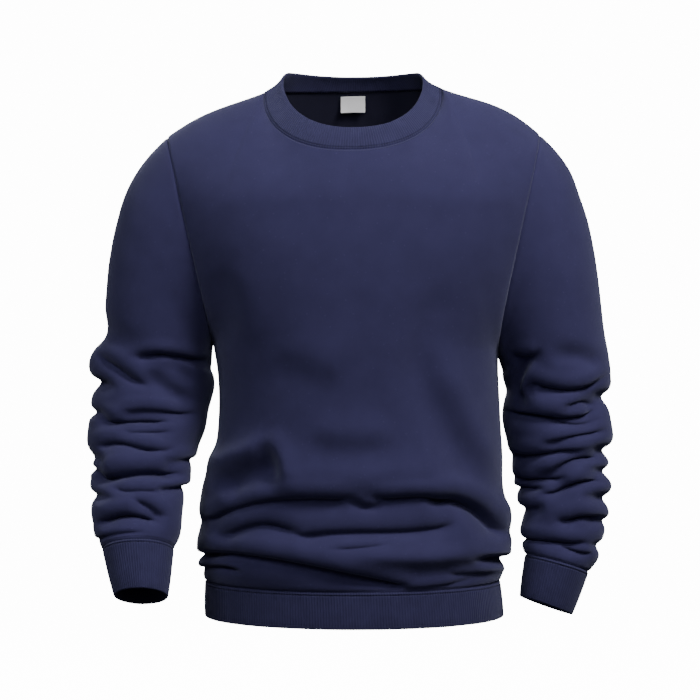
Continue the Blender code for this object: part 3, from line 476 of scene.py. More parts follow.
def yoke_point(face, share, step):
    """Smooth shoulder above the yoke line, as columns that roll over to the top edge."""
    small = 0.02
    two = np.full_like(step, 2.0)
    start = body_point(face, share, two)
    climb = (start - body_point(face, share, two - small)) / small * (1 - YOKE_SHARE) / YOKE_SHARE
    reach, pull, lean = follow(ARRIVALS, "start end lean", np.abs(share))
    lean = np.radians(lean)
    arrive = np.stack([np.zeros_like(pull), -face * pull * np.sin(lean), pull * np.cos(lean)], axis=-1)
    end = top_point(face, share)
    handles = start + climb * reach[..., None] / 3, end - arrive / 3
    inner = bezier(start, *handles, end, np.clip(step - 2, 0, 1))
    edge = np.where((share < 0)[..., None], edge_point(-1, face, step), edge_point(1, face, step))
    return np.where((np.abs(share) > 1 - 1e-6)[..., None], edge, inner)


def smooth_panel(face, share, step):
    """Point on a panel, at step 0 by the hem, 1 by the underarm, 2 on the yoke line and 3 on top."""
    low = body_point(face, share, np.minimum(step, 2))
    return np.where((step <= 2)[..., None], low, yoke_point(face, share, step))


def grid_normals(points, closed=False):
    """Normals of a grid of points, as the mean of the cells round each point by their area."""
    if closed:
        points = np.concatenate([points, points[:, :1]], axis=1)
    cells = np.cross(points[1:, 1:] - points[:-1, :-1], points[1:, :-1] - points[:-1, 1:])
    normals = np.zeros_like(points)
    for row in (0, 1):
        for column in (0, 1):
            normals[row:row + len(cells), column:column + cells.shape[1]] += cells
    if closed:
        normals[:, 0] += normals[:, -1]
        normals = normals[:, :-1]
    return unit(normals)


def sleeve_section(side, along, turn):
    """Smooth oval section of a sleeve."""
    outer_x, outer_z, inner_x, inner_z, y, depth, lean = follow(
        SLEEVES[side], "outer_x outer_z inner_x inner_z y depth lean", along)
    outer = np.stack([outer_x, y, outer_z], axis=-1)
    inner = np.stack([inner_x, y, inner_z], axis=-1)
    lean = np.radians(lean)
    forward = np.stack([np.zeros_like(lean), -np.cos(lean), np.sin(lean)], axis=-1)
    turn = np.radians(turn)[..., None]
    across = np.cos(turn) * (outer - inner) / 2
    return (outer + inner) / 2 + across + np.sin(turn) * forward * depth[..., None]


def smooth_sleeve(side, along, turn):
    """Point on a sleeve, which starts on the armhole. It turns from the outer edge over the front."""
    t = np.abs(1 - turn / 180)
    seam = np.where((turn <= 180)[..., None], armhole_point(side, -1, t), armhole_point(side, 1, t))
    start = sleeve_section(side, np.zeros_like(along), turn)
    fade = smooth_share(1 - along / CAP_FADE)[..., None]
    return sleeve_section(side, along, turn) + fade * (seam - start)


# Folded cloth

def seen(points):
    """Where the front view shows each point: steps across and down."""
    size = VIEW_STEP * (points[..., 1] - VIEW_Y) / -VIEW_Y
    across = VIEW_MIDDLE + (points[..., 0] - VIEW_X) / size
    down = VIEW_MIDDLE - (points[..., 2] - VIEW_Z) / size
    return np.stack([across, down], axis=-1)


def mirrored(crease):
    """The same crease on the other side of the garment, a little lower and gentler."""
    across, down = crease[6::-2], crease[7::-2]
    places = [value for a, d in zip(across, down) for value in (2 * GARMENT_MIDDLE - a, d + BACK_DROP)]
    return Crease(*places, crease.depth * BACK_SHARE, *crease[9:])


def crease_path(crease):
    """Smooth curve through the crease's four places."""
    at = np.linspace(0, 3, PATH_POINTS)[:, None]
    places = np.array(crease[:8], float).reshape(4, 2)
    return sum(math.prod((at - j) / (i - j) for j in range(4) if j != i) * places[i] for i in range(4))


def crease_shape(above, crease):
    """Height of the cloth and hang of the upper lip, at distances above the crease."""
    if not crease.lip:
        hollow = (1 - abs(crease.hang)) * bell(above, 1)
        return crease.depth * (crease.hang * above * bell(above, STEP_REACH) - hollow), 0
    upper, lower = (sum(share * bell(above, reach) for share, reach in trough)
                    for trough in (UPPER_TROUGH, LOWER_TROUGH))
    lips = ONE_LIP_HEIGHT * bell(above, *ONE_LIP) if crease.hang else bell(np.abs(above), *TWO_LIPS)
    height = crease.lip * lips - crease.depth * np.where(above > 0, upper, lower)
    return height, crease.hang * crease.width * bell(above, *HANG)


def creased(creases, view):
    """Height of the folded cloth above the smooth one, and how far its upper lips hang down."""
    relief = np.zeros(view.shape[:-1])
    slide = np.zeros_like(relief)
    for crease in creases:
        path = crease_path(crease)
        reach = CREASE_REACH * crease.width / VIEW_STEP
        near = np.all((view > path.min(axis=0) - reach) & (view < path.max(axis=0) + reach), axis=-1)
        spots = view[near]
        if not len(spots):
            continue
        place = ((spots[:, None] - path[None]) ** 2).sum(axis=-1).argmin(axis=1).astype(float)
        pace = np.gradient(path, axis=0)
        for _ in range(PATH_ROUNDS):
            held = np.clip(place, 0, PATH_POINTS - 1)
            ahead = at_places(pace, held)
            off = spots - at_places(path, held)
            place = held + (off * ahead).sum(axis=-1) / (ahead ** 2).sum(axis=-1)
        share = place / (PATH_POINTS - 1)
        ahead = unit(ahead)
        above = (off[:, 0] * ahead[:, 1] - off[:, 1] * ahead[:, 0]) * VIEW_STEP / crease.width
        end = END_MOST
        if crease.lip:
            end = min(END_FADE / distance(path[-1], path[0]), END_MOST) if crease.hang else OPEN_END
        fade = smooth_share(np.minimum(share, 1 - share) / end)
        height, hang = crease_shape(above, crease)
        relief[near] += fade * height
        slide[near] += fade * hang
    return relief, slide


def drift(x, y, reach, start):
    """Slow unevenness of worn cloth, between about -1 and 1."""
    total = 0
    for i in range(WAVES):
        turn = start + WAVE_TURN * i
        way = (x * math.cos(turn) + y * math.sin(turn)) * WAVE_PACE ** i / reach
        total = total + WAVE_WEAKENING ** i * np.sin(way + start * WAVE_START * i)
    return total / 2


def folded(points, outward, creases, hidden_creases, shown, calm, uneven):
    """Folds a smooth grid, with the hidden side's creases where the front's aren't shown."""
    view = seen(points)
    relief, slide = creased(creases, view)
    hidden, droop = creased([mirrored(crease) for crease in hidden_creases], view)
    points = points + outward * (calm * (mix(hidden, relief, shown) + uneven))[..., None]
    points[..., 2] -= calm * mix(droop, slide, shown)
    return points


def fine_panel(face, shares, steps):
    """Folded panel before its seams are drawn in."""
    shares, steps = np.meshgrid(shares, steps)
    points = smooth_panel(face, shares, steps)
    near = bell(steps, UNDERARM_REACH, 1) * (1 - np.abs(shares) ** UNDERARM_POWER)
    for _ in range(UNDERARM_ROUNDS):
        points[1:-1] += near[1:-1, :, None] / 2 * ((points[:-2] + points[2:]) / 2 - points[1:-1])
    beside = np.clip((1 - np.abs(shares)) / ARMHOLE_CALM, 0, 1) ** 0.5
    calm = 1 - (1 - beside) * smooth_share((steps - CALM_STEP) / (1 - CALM_STEP))
    calm = calm * np.clip((3 - steps) / TOP_CALM, 0, 1)
    calm = calm * np.clip((points[..., 2] - HEM_SEAM) / HEM_CALM, 0, 1)
    shown, hidden = 1, ()
    if face > 0:
        shown, hidden = smooth_share((np.abs(shares) - BACK_EDGE) / (1 - BACK_EDGE)), BODY_CREASES
    reach, start = BODY_WAVES
    uneven = UNEVEN * drift(points[..., 0], points[..., 2], reach, start + face)
    return folded(points, -face * grid_normals(points), BODY_CREASES, hidden, shown, calm, uneven)


def fine_sleeve(side, alongs, turns):
    """Folded sleeve before its seams are drawn in."""
    turns, alongs = np.meshgrid(turns, alongs)
    points = smooth_sleeve(side, alongs, turns)
    behind = np.where(turns > 270, 360 - turns, turns - 180)
    calm = np.clip((SLEEVES[side][SEAM_SECTION].along - alongs) / CUFF_CALM, 0, 1)
    reach, start = SLEEVE_WAVES
    round_way = np.cos(np.radians(turns)) * SLEEVE_RADIUS
    uneven = UNEVEN * drift(round_way, points[..., 2], reach, start + side)
    uneven = uneven * np.clip(alongs / CAP_CALM, 0, 1)
    return folded(points, side * grid_normals(points, closed=True), SLEEVE_CREASES[side],
                  SLEEVE_CREASES[-side], 1 - smooth_share(behind / BACK_TURN), calm, uneven)


def lay_to(points, edge, target):
    """Moves the cloth beside an edge so that the edge lies on its target."""
    return points + bell(distance(points, edge), EDGE_REACH)[..., None] * (target - edge)


def rolled(points, normals, seams):
    """Cloth drawn in along its seams, and the way through its wall. A seam is an edge and its way in."""
    total, step = 0, 0
    for edge, inward in seams:
        weight = bell(distance(points, edge), SEAM_REACH)[..., None]
        total = total + weight
        step = step + weight * inward
    sewn = np.clip(total, 0, 1)
    step = step / np.maximum(total, 1)
    through = unit(step - normals * (1 - sewn)) * (JERSEY_WALL - SEAM_THINNING * sewn)
    return points + SEAM_DEPTH * step, through


# Lines and grids

def spread(count, ease):
    """Shares from 0 to 1 that lie closer together at both ends."""
    share = np.linspace(0, 1, count + 1)
    return share - ease * np.sin(2 * math.pi * share) / (2 * math.pi)


def run_along(points):
    """Distance along a line, or along each column of a grid, from its first point."""
    run = np.cumsum(distance(points[1:], points[:-1]), axis=0)
    return np.concatenate([np.zeros_like(run[:1]), run])


def on_line(where, run, values):
    """Values on a line, such as its points, at distances along it."""
    return np.stack([np.interp(where, run, values[:, k]) for k in range(3)], axis=-1)


def at_places(points, places):
    low = np.floor(places).astype(int)
    return mix(points[low % len(points)], points[(low + 1) % len(points)], (places - low)[:, None])


def nearest_rows(values, places, wanted):
    """For each wanted point, the value at the nearest place."""
    return values[[int(np.argmin(np.sum((places - point) ** 2, axis=1))) for point in wanted]]


# Meshes

def make_piece(name, sheet, materials):
    """Smooth-shaded object from a bmesh whose points are in millimetres."""
    bmesh.ops.recalc_face_normals(sheet, faces=sheet.faces)
    bmesh.ops.scale(sheet, vec=(MM, MM, MM), verts=sheet.verts)
    mesh = bpy.data.meshes.new(name)
    sheet.to_mesh(mesh)
    sheet.free()
    mesh.shade_smooth()
    for material in materials:
        mesh.materials.append(material)
    piece = bpy.data.objects.new(name, mesh)
    bpy.context.scene.collection.objects.link(piece)
    return piece


def woven_grid(rows, columns, u, v):
    """Flat grid whose points stand at their column and row, with the cloth's own coordinates."""
    sheet = bmesh.new()
    bmesh.ops.create_grid(sheet, x_segments=columns, y_segments=rows, size=1)
    layer = sheet.loops.layers.uv.new("cloth")
    u, v = u.tolist(), v.tolist()
    for vert in sheet.verts:
        vert.co = (round((vert.co.x + 1) / 2 * columns), round((vert.co.y + 1) / 2 * rows), 0)
    for face in sheet.faces:
        for loop in face.loops:
            column, row = round(loop.vert.co.x), round(loop.vert.co.y)
            loop[layer].uv = (u[row][column], v[row][column])
    return sheet


def close_up(sheet, columns, rows=None):
    """Joins a grid's last column to its first one, and so its last row where `rows` is given."""
    for vert in sheet.verts:
        if vert.co.x > columns - 0.5:
            vert.co.x = 0
        if rows and vert.co.y > rows - 0.5:
            vert.co.y = 0
    bmesh.ops.remove_doubles(sheet, verts=sheet.verts, dist=0.1)


def put_verts(sheet, layers):
    """Moves a grid's points from their column, row and layer to their places."""
    layers = [layer.tolist() for layer in layers]
    for vert in sheet.verts:
        vert.co = layers[round(vert.co.z)][round(vert.co.y)][round(vert.co.x)]


def cloth_piece(name, outer, inner, u, v, closed, materials):
    """Wall between two grids of points: a sheet, or a tube where it is closed."""
    rows, columns = outer.shape[:2]
    sheet = woven_grid(rows - 1, columns if closed else columns - 1, u, v)
    if closed:
        close_up(sheet, columns)
    made = bmesh.ops.extrude_face_region(sheet, geom=list(sheet.faces), use_keep_orig=True)
    for item in made["geom"]:
        if isinstance(item, bmesh.types.BMVert):
            item.co.z = 1
        elif isinstance(item, bmesh.types.BMFace):
            item.material_index = 1
    put_verts(sheet, [outer, inner])
    return make_piece(name, sheet, materials)


def band_piece(name, profile, u, v, material):
    """Ring of cloth folded over at its free edge, from rows of points round its section."""
    rows, columns = profile.shape[:2]
    sheet = woven_grid(rows, columns, u, v)
    close_up(sheet, columns, rows)
    put_verts(sheet, [profile])
    return make_piece(name, sheet, [material])


# Ribbed bands: pitch and height of the wales, how broad their crests are, and the share of their
# height that is always there and that comes and goes on the way round
RIB_PITCH = 3.2
RIB_HEIGHT = 0.38
WALE_ROUNDNESS = 0.8
WALE_LEAST = 0.75
WALE_DRIFT = 0.5

# The ridge over the seam allowance, the place of the line sewn beside it, how far the band bows out,
# and how much less it does so on its two sides
Edge = namedtuple("Edge", "ridge stitch bulge side_sag")
BODY_EDGE = Edge(0.7, 3.6, 0.5, 0)
NECK_EDGE = Edge(0.45, 3.0, 0.8, 2.6)

# How narrow those two sides are, how late the band bows out, the ridge's reach, the sewn line's
# depth and reach, and how much and how far it holds the wales down
SAG_POWER = 6
BOW_POWER = 1.4
RIDGE_REACH = 0.9
LINE_DEPTH = 0.7
LINE_REACH = 0.6
LINE_FLATTENING = 0.6
LINE_HOLD = 0.8

# How far the wales stand up at the rim and inside, how far from the seam they grow there, and how
# far the inside lies up at the seam
RIM_HUMP = 0.8
INNER_HUMP = 0.6
INNER_GROWTH = 5.0
INNER_FLUSH = 1.2

# Rows of points beside the seam, in millimetres from it, and numbers of rows on the rest
BAND_NEAR = (0, 0.5, 1.0, 1.5, 2.0, 2.5, 3.0, 3.5, 4.0, 4.6, 5.5, 7.0)
BAND_ROWS = 6
RIM_ROWS = 8

Band = namedtuple("Band", "seam rim outward")


def band_between(seam, rim):
    """Band between two loops, with its outward normals at the first one."""
    outward = grid_normals(np.stack([seam, rim]), closed=True)[0]
    facing = np.sum(outward * (seam - seam.mean(axis=0)))
    return Band(seam, rim, outward * (1 if facing > 0 else -1))


def wale_places(loop, samples):
    """Number of wales on a closed loop, and the places of their samples on it."""
    run = run_along(np.concatenate([loop, loop[:1]]))
    wales = round(run[-1] / RIB_PITCH)
    even = np.arange(wales * samples) / (wales * samples) * run[-1]
    return wales, np.interp(even, run, np.arange(len(run)))


def rib_rows(band, inward, hump, edge):
    """Rows of points round the section of a ribbed band: outside, folded rim, inside."""
    seam = band.seam
    along = unit(band.rim - seam)
    half = BAND_WALL / 2
    flat = distance(band.rim, seam) - half
    bulge = edge.bulge - edge.side_sag * np.abs(seam[:, 0] / seam[:, 0].max()) ** SAG_POWER
    rows, runs = [], []

    def add(place, lift, run):
        near = bell(place, SEAM_REACH)[:, None]
        step = mix(band.outward, -inward, near)
        rows.append(seam + along * place[:, None] + step * lift[:, None] + near * inward * SEAM_DEPTH)
        runs.append(run)

    def bow(place):
        return bulge * np.sin(math.pi * np.clip(place / flat, 0, 1) ** BOW_POWER)

    shares = np.linspace(0, 1, BAND_ROWS + 1)[1:]
    near = [np.full(len(seam), place) for place in BAND_NEAR]
    for place in near + [mix(BAND_NEAR[-1], flat, share) for share in shares]:
        line = LINE_DEPTH * bell(place, LINE_REACH, edge.stitch)
        grown = np.clip(place / (edge.stitch + 1), 0, 1)
        grown = grown * (1 - LINE_FLATTENING * bell(place, LINE_HOLD, edge.stitch))
        ridge = edge.ridge * bell(place, RIDGE_REACH, edge.stitch / 2)
        add(place, ridge - line + hump * grown + bow(place), place)
    reach = half + RIM_HUMP * hump
    for angle in np.linspace(0, math.pi, RIM_ROWS + 1)[1:]:
        add(flat + math.sin(angle) * reach, math.cos(angle) * reach - half, flat + half * angle)
    for share in shares:
        place = flat * (1 - share)
        wales = INNER_HUMP * hump * np.clip(place / INNER_GROWTH, 0, 1)
        lift = bow(place) - BAND_WALL - wales + INNER_FLUSH * bell(place, SEAM_REACH)
        add(place, lift, flat + half * math.pi + flat * share)
    return np.array(rows), np.array(runs)


def rib_band(name, loops, inward, edge, samples, material):
    """Ribbed band between two dense loops, with wales at an even pitch along the seam."""
    wales, places = wale_places(loops.seam, samples)
    band = Band(*(at_places(values, places) for values in loops))
    band = band._replace(outward=unit(band.outward))
    hump = RIB_HEIGHT * np.abs(np.cos(math.pi * np.arange(wales * samples) / samples)) ** WALE_ROUNDNESS
    hump = hump * (WALE_LEAST + WALE_DRIFT * drift(band.seam[:, 0], band.seam[:, 1], *BAND_WAVES))
    rows, runs = rib_rows(band, at_places(inward, places), hump, edge)
    u = np.tile(np.arange(wales * samples + 1) / samples, (len(rows) + 1, 1))
    v = np.concatenate([runs, runs[-1:] + 1])
    v = np.concatenate([v, v[:, :1]], axis=1)
    return band_piece(name, rows, u, v, material), band


# Stitches: their length, gap and half thickness, their height in the line sunk into the bands, and
# how far from the seam they lie on the cloth, within its first rows
STITCH_LENGTH = 2.5
STITCH_GAP = 0.8
STITCH_RADIUS = 0.3
STITCH_LIFT = -0.1
CLOTH_STITCH = 3.4
NEAR_ROWS = 16


def stitches(name, lines, material):
    """Short stitches along closed lines, each line given as points and normals."""
    thread = bmesh.new()
    whole = bpy.data.meshes.new("line")
    for line in lines:
        row = bmesh.new()
        points, outward = (np.concatenate([values, values[:1]]) for values in line)
        run = run_along(points)
        count = round(run[-1] / (STITCH_LENGTH + STITCH_GAP))
        starts = np.arange(count) * run[-1] / count
        first, last = on_line(starts, run, points), on_line(starts + STITCH_LENGTH, run, points)
        middle, half = (first + last) / 2, (last - first) / 2
        up = unit(on_line(starts, run, outward)) * STITCH_RADIUS
        side = unit(np.cross(up, half)) * STITCH_RADIUS
        for place, axes in zip(middle, np.stack([side, up, half], axis=-1)):
            matrix = Matrix.Translation(Vector(place)) @ Matrix(axes.tolist()).to_4x4()
            bmesh.ops.create_uvsphere(row, u_segments=6, v_segments=4, radius=1, matrix=matrix)
        row.to_mesh(whole)
        row.free()
        thread.from_mesh(whole)
    bpy.data.meshes.remove(whole)
    return make_piece(name, thread, [material])


def line_beside(points, normals):
    """Points and normals of the stitched line on cloth, beside the first row of its grid."""
    run = run_along(points[:NEAR_ROWS])

    def at(values):
        near = values[:NEAR_ROWS]
        return np.array([on_line(CLOTH_STITCH, run[:, c], near[:, c]) for c in range(near.shape[1])])

    return at(points), unit(at(normals))


def band_line(band, edge):
    """Points and normals along the sunk line on a band, beside its seam."""
    along = unit(band.rim - band.seam)
    return band.seam + along * edge.stitch + band.outward * STITCH_LIFT, band.outward


def round_both(front, back):
    """Closed line across the front and back round the back."""
    return tuple(np.concatenate([first, second[::-1]]) for first, second in zip(front, back))


# Materials

class Term:
    """A shader value, so that node maths reads as plain expressions."""

    def __init__(self, graph, socket):
        self.graph = graph
        self.socket = socket

    def math(self, operation, *others):
        return self.graph.add("ShaderNodeMath", {"operation": operation}, (self, *others))

    def __add__(self, other):
        return self.math("ADD", other)

    def __mul__(self, other):
        return self.math("MULTIPLY", other)

    def __sub__(self, other):
        return self.math("SUBTRACT", other)

    def __truediv__(self, other):
        return self.math("DIVIDE", other)

    def __rsub__(self, other):
        return self * -1 + other

    __radd__ = __add__
    __rmul__ = __mul__

    def sine(self):
        return self.math("SINE")

    def fraction(self):
        return self.math("FRACT")

    def size(self):
        return self.math("ABSOLUTE")

    def power(self, other):
        return self.math("POWER", other)

    def within(self):
        return self.math("MAXIMUM", 0.0).math("MINIMUM", 1.0)


class Graph:
    """A Principled material whose other nodes come from one method."""

    def __init__(self, name, **constants):
        self.material = bpy.data.materials.new(name)
        self.material.use_nodes = True
        self.tree = self.material.node_tree
        self.shader = self.tree.nodes["Principled BSDF"]
        for key, value in constants.items():
            self.shader.inputs[key.replace("_", " ")].default_value = value

    def add(self, kind, settings, inputs, output=0):
        node = self.tree.nodes.new(kind)
        for key, value in settings.items():
            setattr(node, key, value)
        for key, value in inputs.items() if isinstance(inputs, dict) else enumerate(inputs):
            if isinstance(value, Term):
                self.tree.links.new(value.socket, node.inputs[key])
            else:
                node.inputs[key].default_value = value
        return Term(self, node.outputs[output])

    def link(self, key, term):
        self.tree.links.new(term.socket, self.shader.inputs[key])

    def finish(self, colour, roughness, normal):
        self.link("Base Color", colour)
        self.link("Roughness", roughness)
        self.link("Normal", normal)
        return self.material

    def place(self):
        return self.add("ShaderNodeTexCoord", {}, {}, "Object")

    def cloth(self):
        ends = self.add("ShaderNodeUVMap", {"uv_map": "cloth"}, {})
        return tuple(self.add("ShaderNodeSeparateXYZ", {}, {0: ends}, axis) for axis in (0, 1))

    def noise(self, scale, detail=3.0, rough=0.55):
        return self.add("ShaderNodeTexNoise", {},
                        {"Vector": self.place(), "Scale": scale, "Detail": detail, "Roughness": rough})

    def blend(self, share, first, second):
        return self.add("ShaderNodeMix", {"data_type": "RGBA"}, {0: share, 6: first, 7: second}, 2)

    def bump(self, height, strength, reach, under=None):
        inputs = {"Height": height, "Strength": strength, "Distance": reach}
        if under:
            inputs["Normal"] = under
        return self.add("ShaderNodeBump", {}, inputs)


def knit(wale, course):
    """Height of plain knit: two legs of a V in every stitch."""
    aside = (wale.fraction() - 0.5).size()
    leg = ((course + aside * 1.1).fraction() * math.pi).sine()
    return leg * (1 - (aside * 2).power(4.0))


SHEEN = {"Sheen_Weight": 0.25, "Sheen_Roughness": 0.45, "Sheen_Tint": (0.62, 0.66, 0.9, 1.0)}


def jersey(name, dark, light, wale_size=1.15, fuzz=0.5):
    """Brushed jersey: fine knit under a soft nap, with faint specks, and painted shade between the
    knit's legs.
    """
    graph = Graph(name, Specular_IOR_Level=0.25, **SHEEN)
    u, v = graph.cloth()
    loops = knit(u / wale_size, v / (0.82 * wale_size))
    nap = graph.noise(1400.0, 4.0, 0.7)
    mottle = graph.noise(45.0, 4.0)
    broad = graph.noise(11.0, 2.0)
    specks = graph.add("ShaderNodeTexVoronoi", {}, {"Vector": graph.place(), "Scale": 110.0})
    speck = (1 - specks * 7).within()
    # The knit's loops also lighten the colour on their raised legs, as painted shade in the gaps between
    # them; the rest of the tone varies at random.
    tone = mottle * 0.35 + nap * 0.3 + broad * 0.25 + loops * 0.12 + speck * 0.55
    fine = graph.bump(loops * (1 - fuzz) + nap * (fuzz * 1.6), 0.55, 0.00035)
    return graph.finish(graph.blend(tone, dark, light), 0.84 + nap * 0.14,
                        graph.bump(speck + mottle * 0.6, 0.4, 0.0004, fine))


def rib_knit(name, dark, light):
    """1 x 1 rib: a column of knit stitches on each wale, with painted shade between the wales and
    between the knit's legs.
    """
    graph = Graph(name, Specular_IOR_Level=0.25, **SHEEN)
    u, v = graph.cloth()
    valley = (u * math.pi).sine().size()
    crest_and_shade = (1 - valley * valley).within()
    loops = knit(u + 0.5, v)
    nap = graph.noise(1500.0, 4.0, 0.7)
    mottle = graph.noise(60.0)
    # The wales' crests and the knit's raised legs are lighter, as painted shade between the wales and
    # between the legs; the rest of the tone varies at random.
    tone = (crest_and_shade * 0.14 + mottle * 0.45 + nap * 0.3 + loops * crest_and_shade * 0.12).within()
    return graph.finish(graph.blend(tone, dark, light), 0.84 + nap * 0.14,
                        graph.bump(loops * crest_and_shade * 0.8 + nap * 0.5, 0.6, 0.0004))


def label_tape(name):
    """Blank woven satin tape."""
    graph = Graph(name, Specular_IOR_Level=0.4)
    u, v = graph.cloth()
    weave = (u * (math.pi / 0.35)).sine() * (v * (math.pi / 0.28)).sine()
    grain = graph.noise(700.0)
    tone = (weave * 0.2 + grain * 0.3 + 0.45).within()
    return graph.finish(graph.blend(tone, (0.88, 0.88, 0.91, 1), (0.97, 0.97, 0.99, 1)),
                        0.5 + grain * 0.2, graph.bump(weave * 0.5 + grain, 0.35, 0.0002))


def twisted_thread(name, dark, light):
    graph = Graph(name, Specular_IOR_Level=0.35)
    twist = graph.noise(2600.0, 2.0)
    return graph.finish(graph.blend(twist, dark, light), 0.6 + twist * 0.25,
                        graph.bump(twist, 0.5, 0.0002))


# Garment

# The neckband's rim stands up behind: its bow and its rise in the middle of the back. It is rounded
# off at its two sides, from this share of the half width outwards.
BACK_RIM_RISE = 4.0
BACK_RIM_LIFT = 1.2
RIM_ROUNDING = 3.4
RIM_SIDE = 0.92

# Points across each half of the neck's and the waist's loops, and round a cuff's
RIM_POINTS = 361
WAIST_POINTS = 401
CUFF_POINTS = 360

# Samples on each wale, how firmly the sleeve seam draws in, and the column of a panel on each side
FINE_WALE = 8
COARSE_WALE = 6
SLEEVE_SEAM = 0.8
EDGE_COLUMN = {-1: 0, 1: -1}


def hole_ring(front, back):
    """Lines up both sides of an armhole as one ring, from the shoulder tip down the front."""
    return np.concatenate([front[::-1], back[1:-1]])


# Shares up the armhole where a panel and a sleeve meet, and the sleeve's turns there
HOLES = spread(ARMHOLE_STEPS, ARMHOLE_EASE)
TURNS = hole_ring(180 - 180 * HOLES, 180 + 180 * HOLES)


def neck_band():
    """Neckband between dense loops, whose rim stands up behind."""
    turns = np.linspace(-90, 90, RIM_POINTS)
    seam, rim = (np.concatenate([ring_points(ring, turns, -1), ring_points(ring, turns[::-1][1:-1], 1)])
                 for ring in (NECK_SEAM, NECK_TOP))
    behind = np.clip((rim[:, 1] - NECK_TOP.side_y) / (NECK_TOP.back_y - NECK_TOP.side_y), 0, 1)
    rim[:, 2] += BACK_RIM_RISE * 4 * behind * (1 - behind) + BACK_RIM_LIFT * behind
    aside = np.abs(rim[:, 0]) / np.abs(rim[:, 0]).max()
    rim[:, 2] -= RIM_ROUNDING * np.clip((aside - RIM_SIDE) / (1 - RIM_SIDE), 0, 1) ** 2
    return band_between(seam, rim)


def waist_band():
    shares = np.linspace(-1, 1, WAIST_POINTS)
    foot = np.zeros_like(shares)
    seam = np.concatenate([body_point(-1, shares, foot), body_point(1, shares[::-1], foot)[1:-1]])
    return band_between(seam, seam * (HEM_FLARE, HEM_FLARE, 0) + (HEM_SHIFT, 0, HEM))


def cuff_band(side):
    turns = np.arange(0, 360, 360 / CUFF_POINTS)
    ends = (SLEEVES[side][row].along for row in (SEAM_SECTION, END_SECTION))
    return band_between(*(sleeve_section(side, np.full_like(turns, end), turns) for end in ends))


def panel_columns():
    """Shares of the half width: wide between the shoulders, closer at the armholes and side seams."""
    outer = NECK_SHARE + (1 - NECK_SHARE) * spread(SHOULDER_COLUMNS, COLUMN_EASE)
    middle = 2 * NECK_SHARE * spread(NECK_COLUMNS, NECK_EASE) - NECK_SHARE
    return np.concatenate([-outer[::-1], middle[1:-1], outer])


def panel_rows():
    """Steps up a panel: closest at the hem, and in the armholes where a sleeve has its turns."""
    low = 1 + HOLES / YOKE_SHARE
    high = 2 + (HOLES - YOKE_SHARE) / (1 - YOKE_SHARE)
    return np.concatenate([
        HEM_SHARE * np.linspace(0, 1, HEM_ROWS + 1) ** HEM_EASE,
        np.linspace(HEM_SHARE, FOLDED_SHARE, FOLDED_ROWS)[1:],
        np.linspace(FOLDED_SHARE, 1, CHEST_ROWS)[1:],
        np.where(HOLES < YOKE_SHARE, low, high)[1:],
    ])


SHARES = panel_columns()
STEPS = panel_rows()
IN_NECK = np.abs(SHARES) < NECK_SHARE + 1e-6
UNDERARM_ROW = len(STEPS) - len(HOLES)


def mean_inward(first, second):
    return -(first + second) / 2


def cloth_inward(points, normals, band):
    """Way in at a cloth edge, from its normals and those of the band that is sewn to it."""
    return mean_inward(normals, nearest_rows(band.outward, band.seam, points))


def band_inward(points, normals, band):
    """Way in along a band's seam, beside the cloth edge that is sewn to it."""
    return mean_inward(nearest_rows(normals, points, band.seam), band.outward)


def hole_rows(ring, face):
    """The part of an armhole ring that one panel meets, from the underarm to the shoulder tip."""
    if face < 0:
        return ring[:ARMHOLE_STEPS + 1][::-1]
    return np.concatenate([ring[ARMHOLE_STEPS:], ring[:1]])


def body_panels():
    """Points and normals of the front and back, which share their side seams below the arms."""
    panels = {face: fine_panel(face, SHARES, STEPS) for face in (-1, 1)}
    middle = (panels[-1] + panels[1]) / 2
    seam = slice(UNDERARM_ROW + 1)
    for face, points in panels.items():
        for column in EDGE_COLUMN.values():
            edge = points[seam, column, None].copy()
            points[seam] = lay_to(points[seam], edge, middle[seam, column, None])
        panels[face] = (points, -face * grid_normals(points))
    return panels


def sleeve_tube(side, panels):
    """Points and normals of a sleeve that starts on the panels' armhole, and the way in at that seam."""
    end = SLEEVES[side][SEAM_SECTION].along
    arm = mix(end, CAP_LENGTH, (1 - np.linspace(0, 1, ARM_ROWS)[1:]) ** ARM_EASE)
    points = fine_sleeve(side, np.concatenate([CAP_LENGTH * spread(CAP_ROWS, CAP_EASE), arm]), TURNS)
    hole, facing = (hole_ring(*(values[UNDERARM_ROW:, EDGE_COLUMN[side]] for values in both))
                    for both in zip(panels[-1], panels[1]))
    points = lay_to(points, points[:1].copy(), hole)
    normals = side * grid_normals(points, closed=True)
    return points, normals, mean_inward(facing, normals[0])


def body_piece(name, face, panels, sleeves, neck, waist, materials):
    """Makes a panel, drawn in along all its seams, and puts its new grid in its place."""
    points, normals = panels[face]
    opposite = panels[-face][1]
    seams = []
    for side, column in EDGE_COLUMN.items():
        below = mean_inward(normals[:UNDERARM_ROW, column], opposite[:UNDERARM_ROW, column])
        inward = np.concatenate([below, hole_rows(sleeves[side][2], face)])
        seams.append((points[:, column, None].copy(), inward[:, None]))
    top = mean_inward(normals[-1], opposite[-1])
    top[IN_NECK] = cloth_inward(points[-1], normals[-1], neck)[IN_NECK]
    seams += [(points[-1:].copy(), top), (points[:1].copy(), cloth_inward(points[0], normals[0], waist))]
    points, through = rolled(points, normals, seams)
    half = 0.5 * distance(points[:, 1:], points[:, :-1]).sum(axis=1).mean()
    u, v = np.meshgrid(SHARES * half, run_along(points).mean(axis=1))
    panels[face] = (points, -face * grid_normals(points))
    return cloth_piece(name, points, points + through, u, v, False, materials)


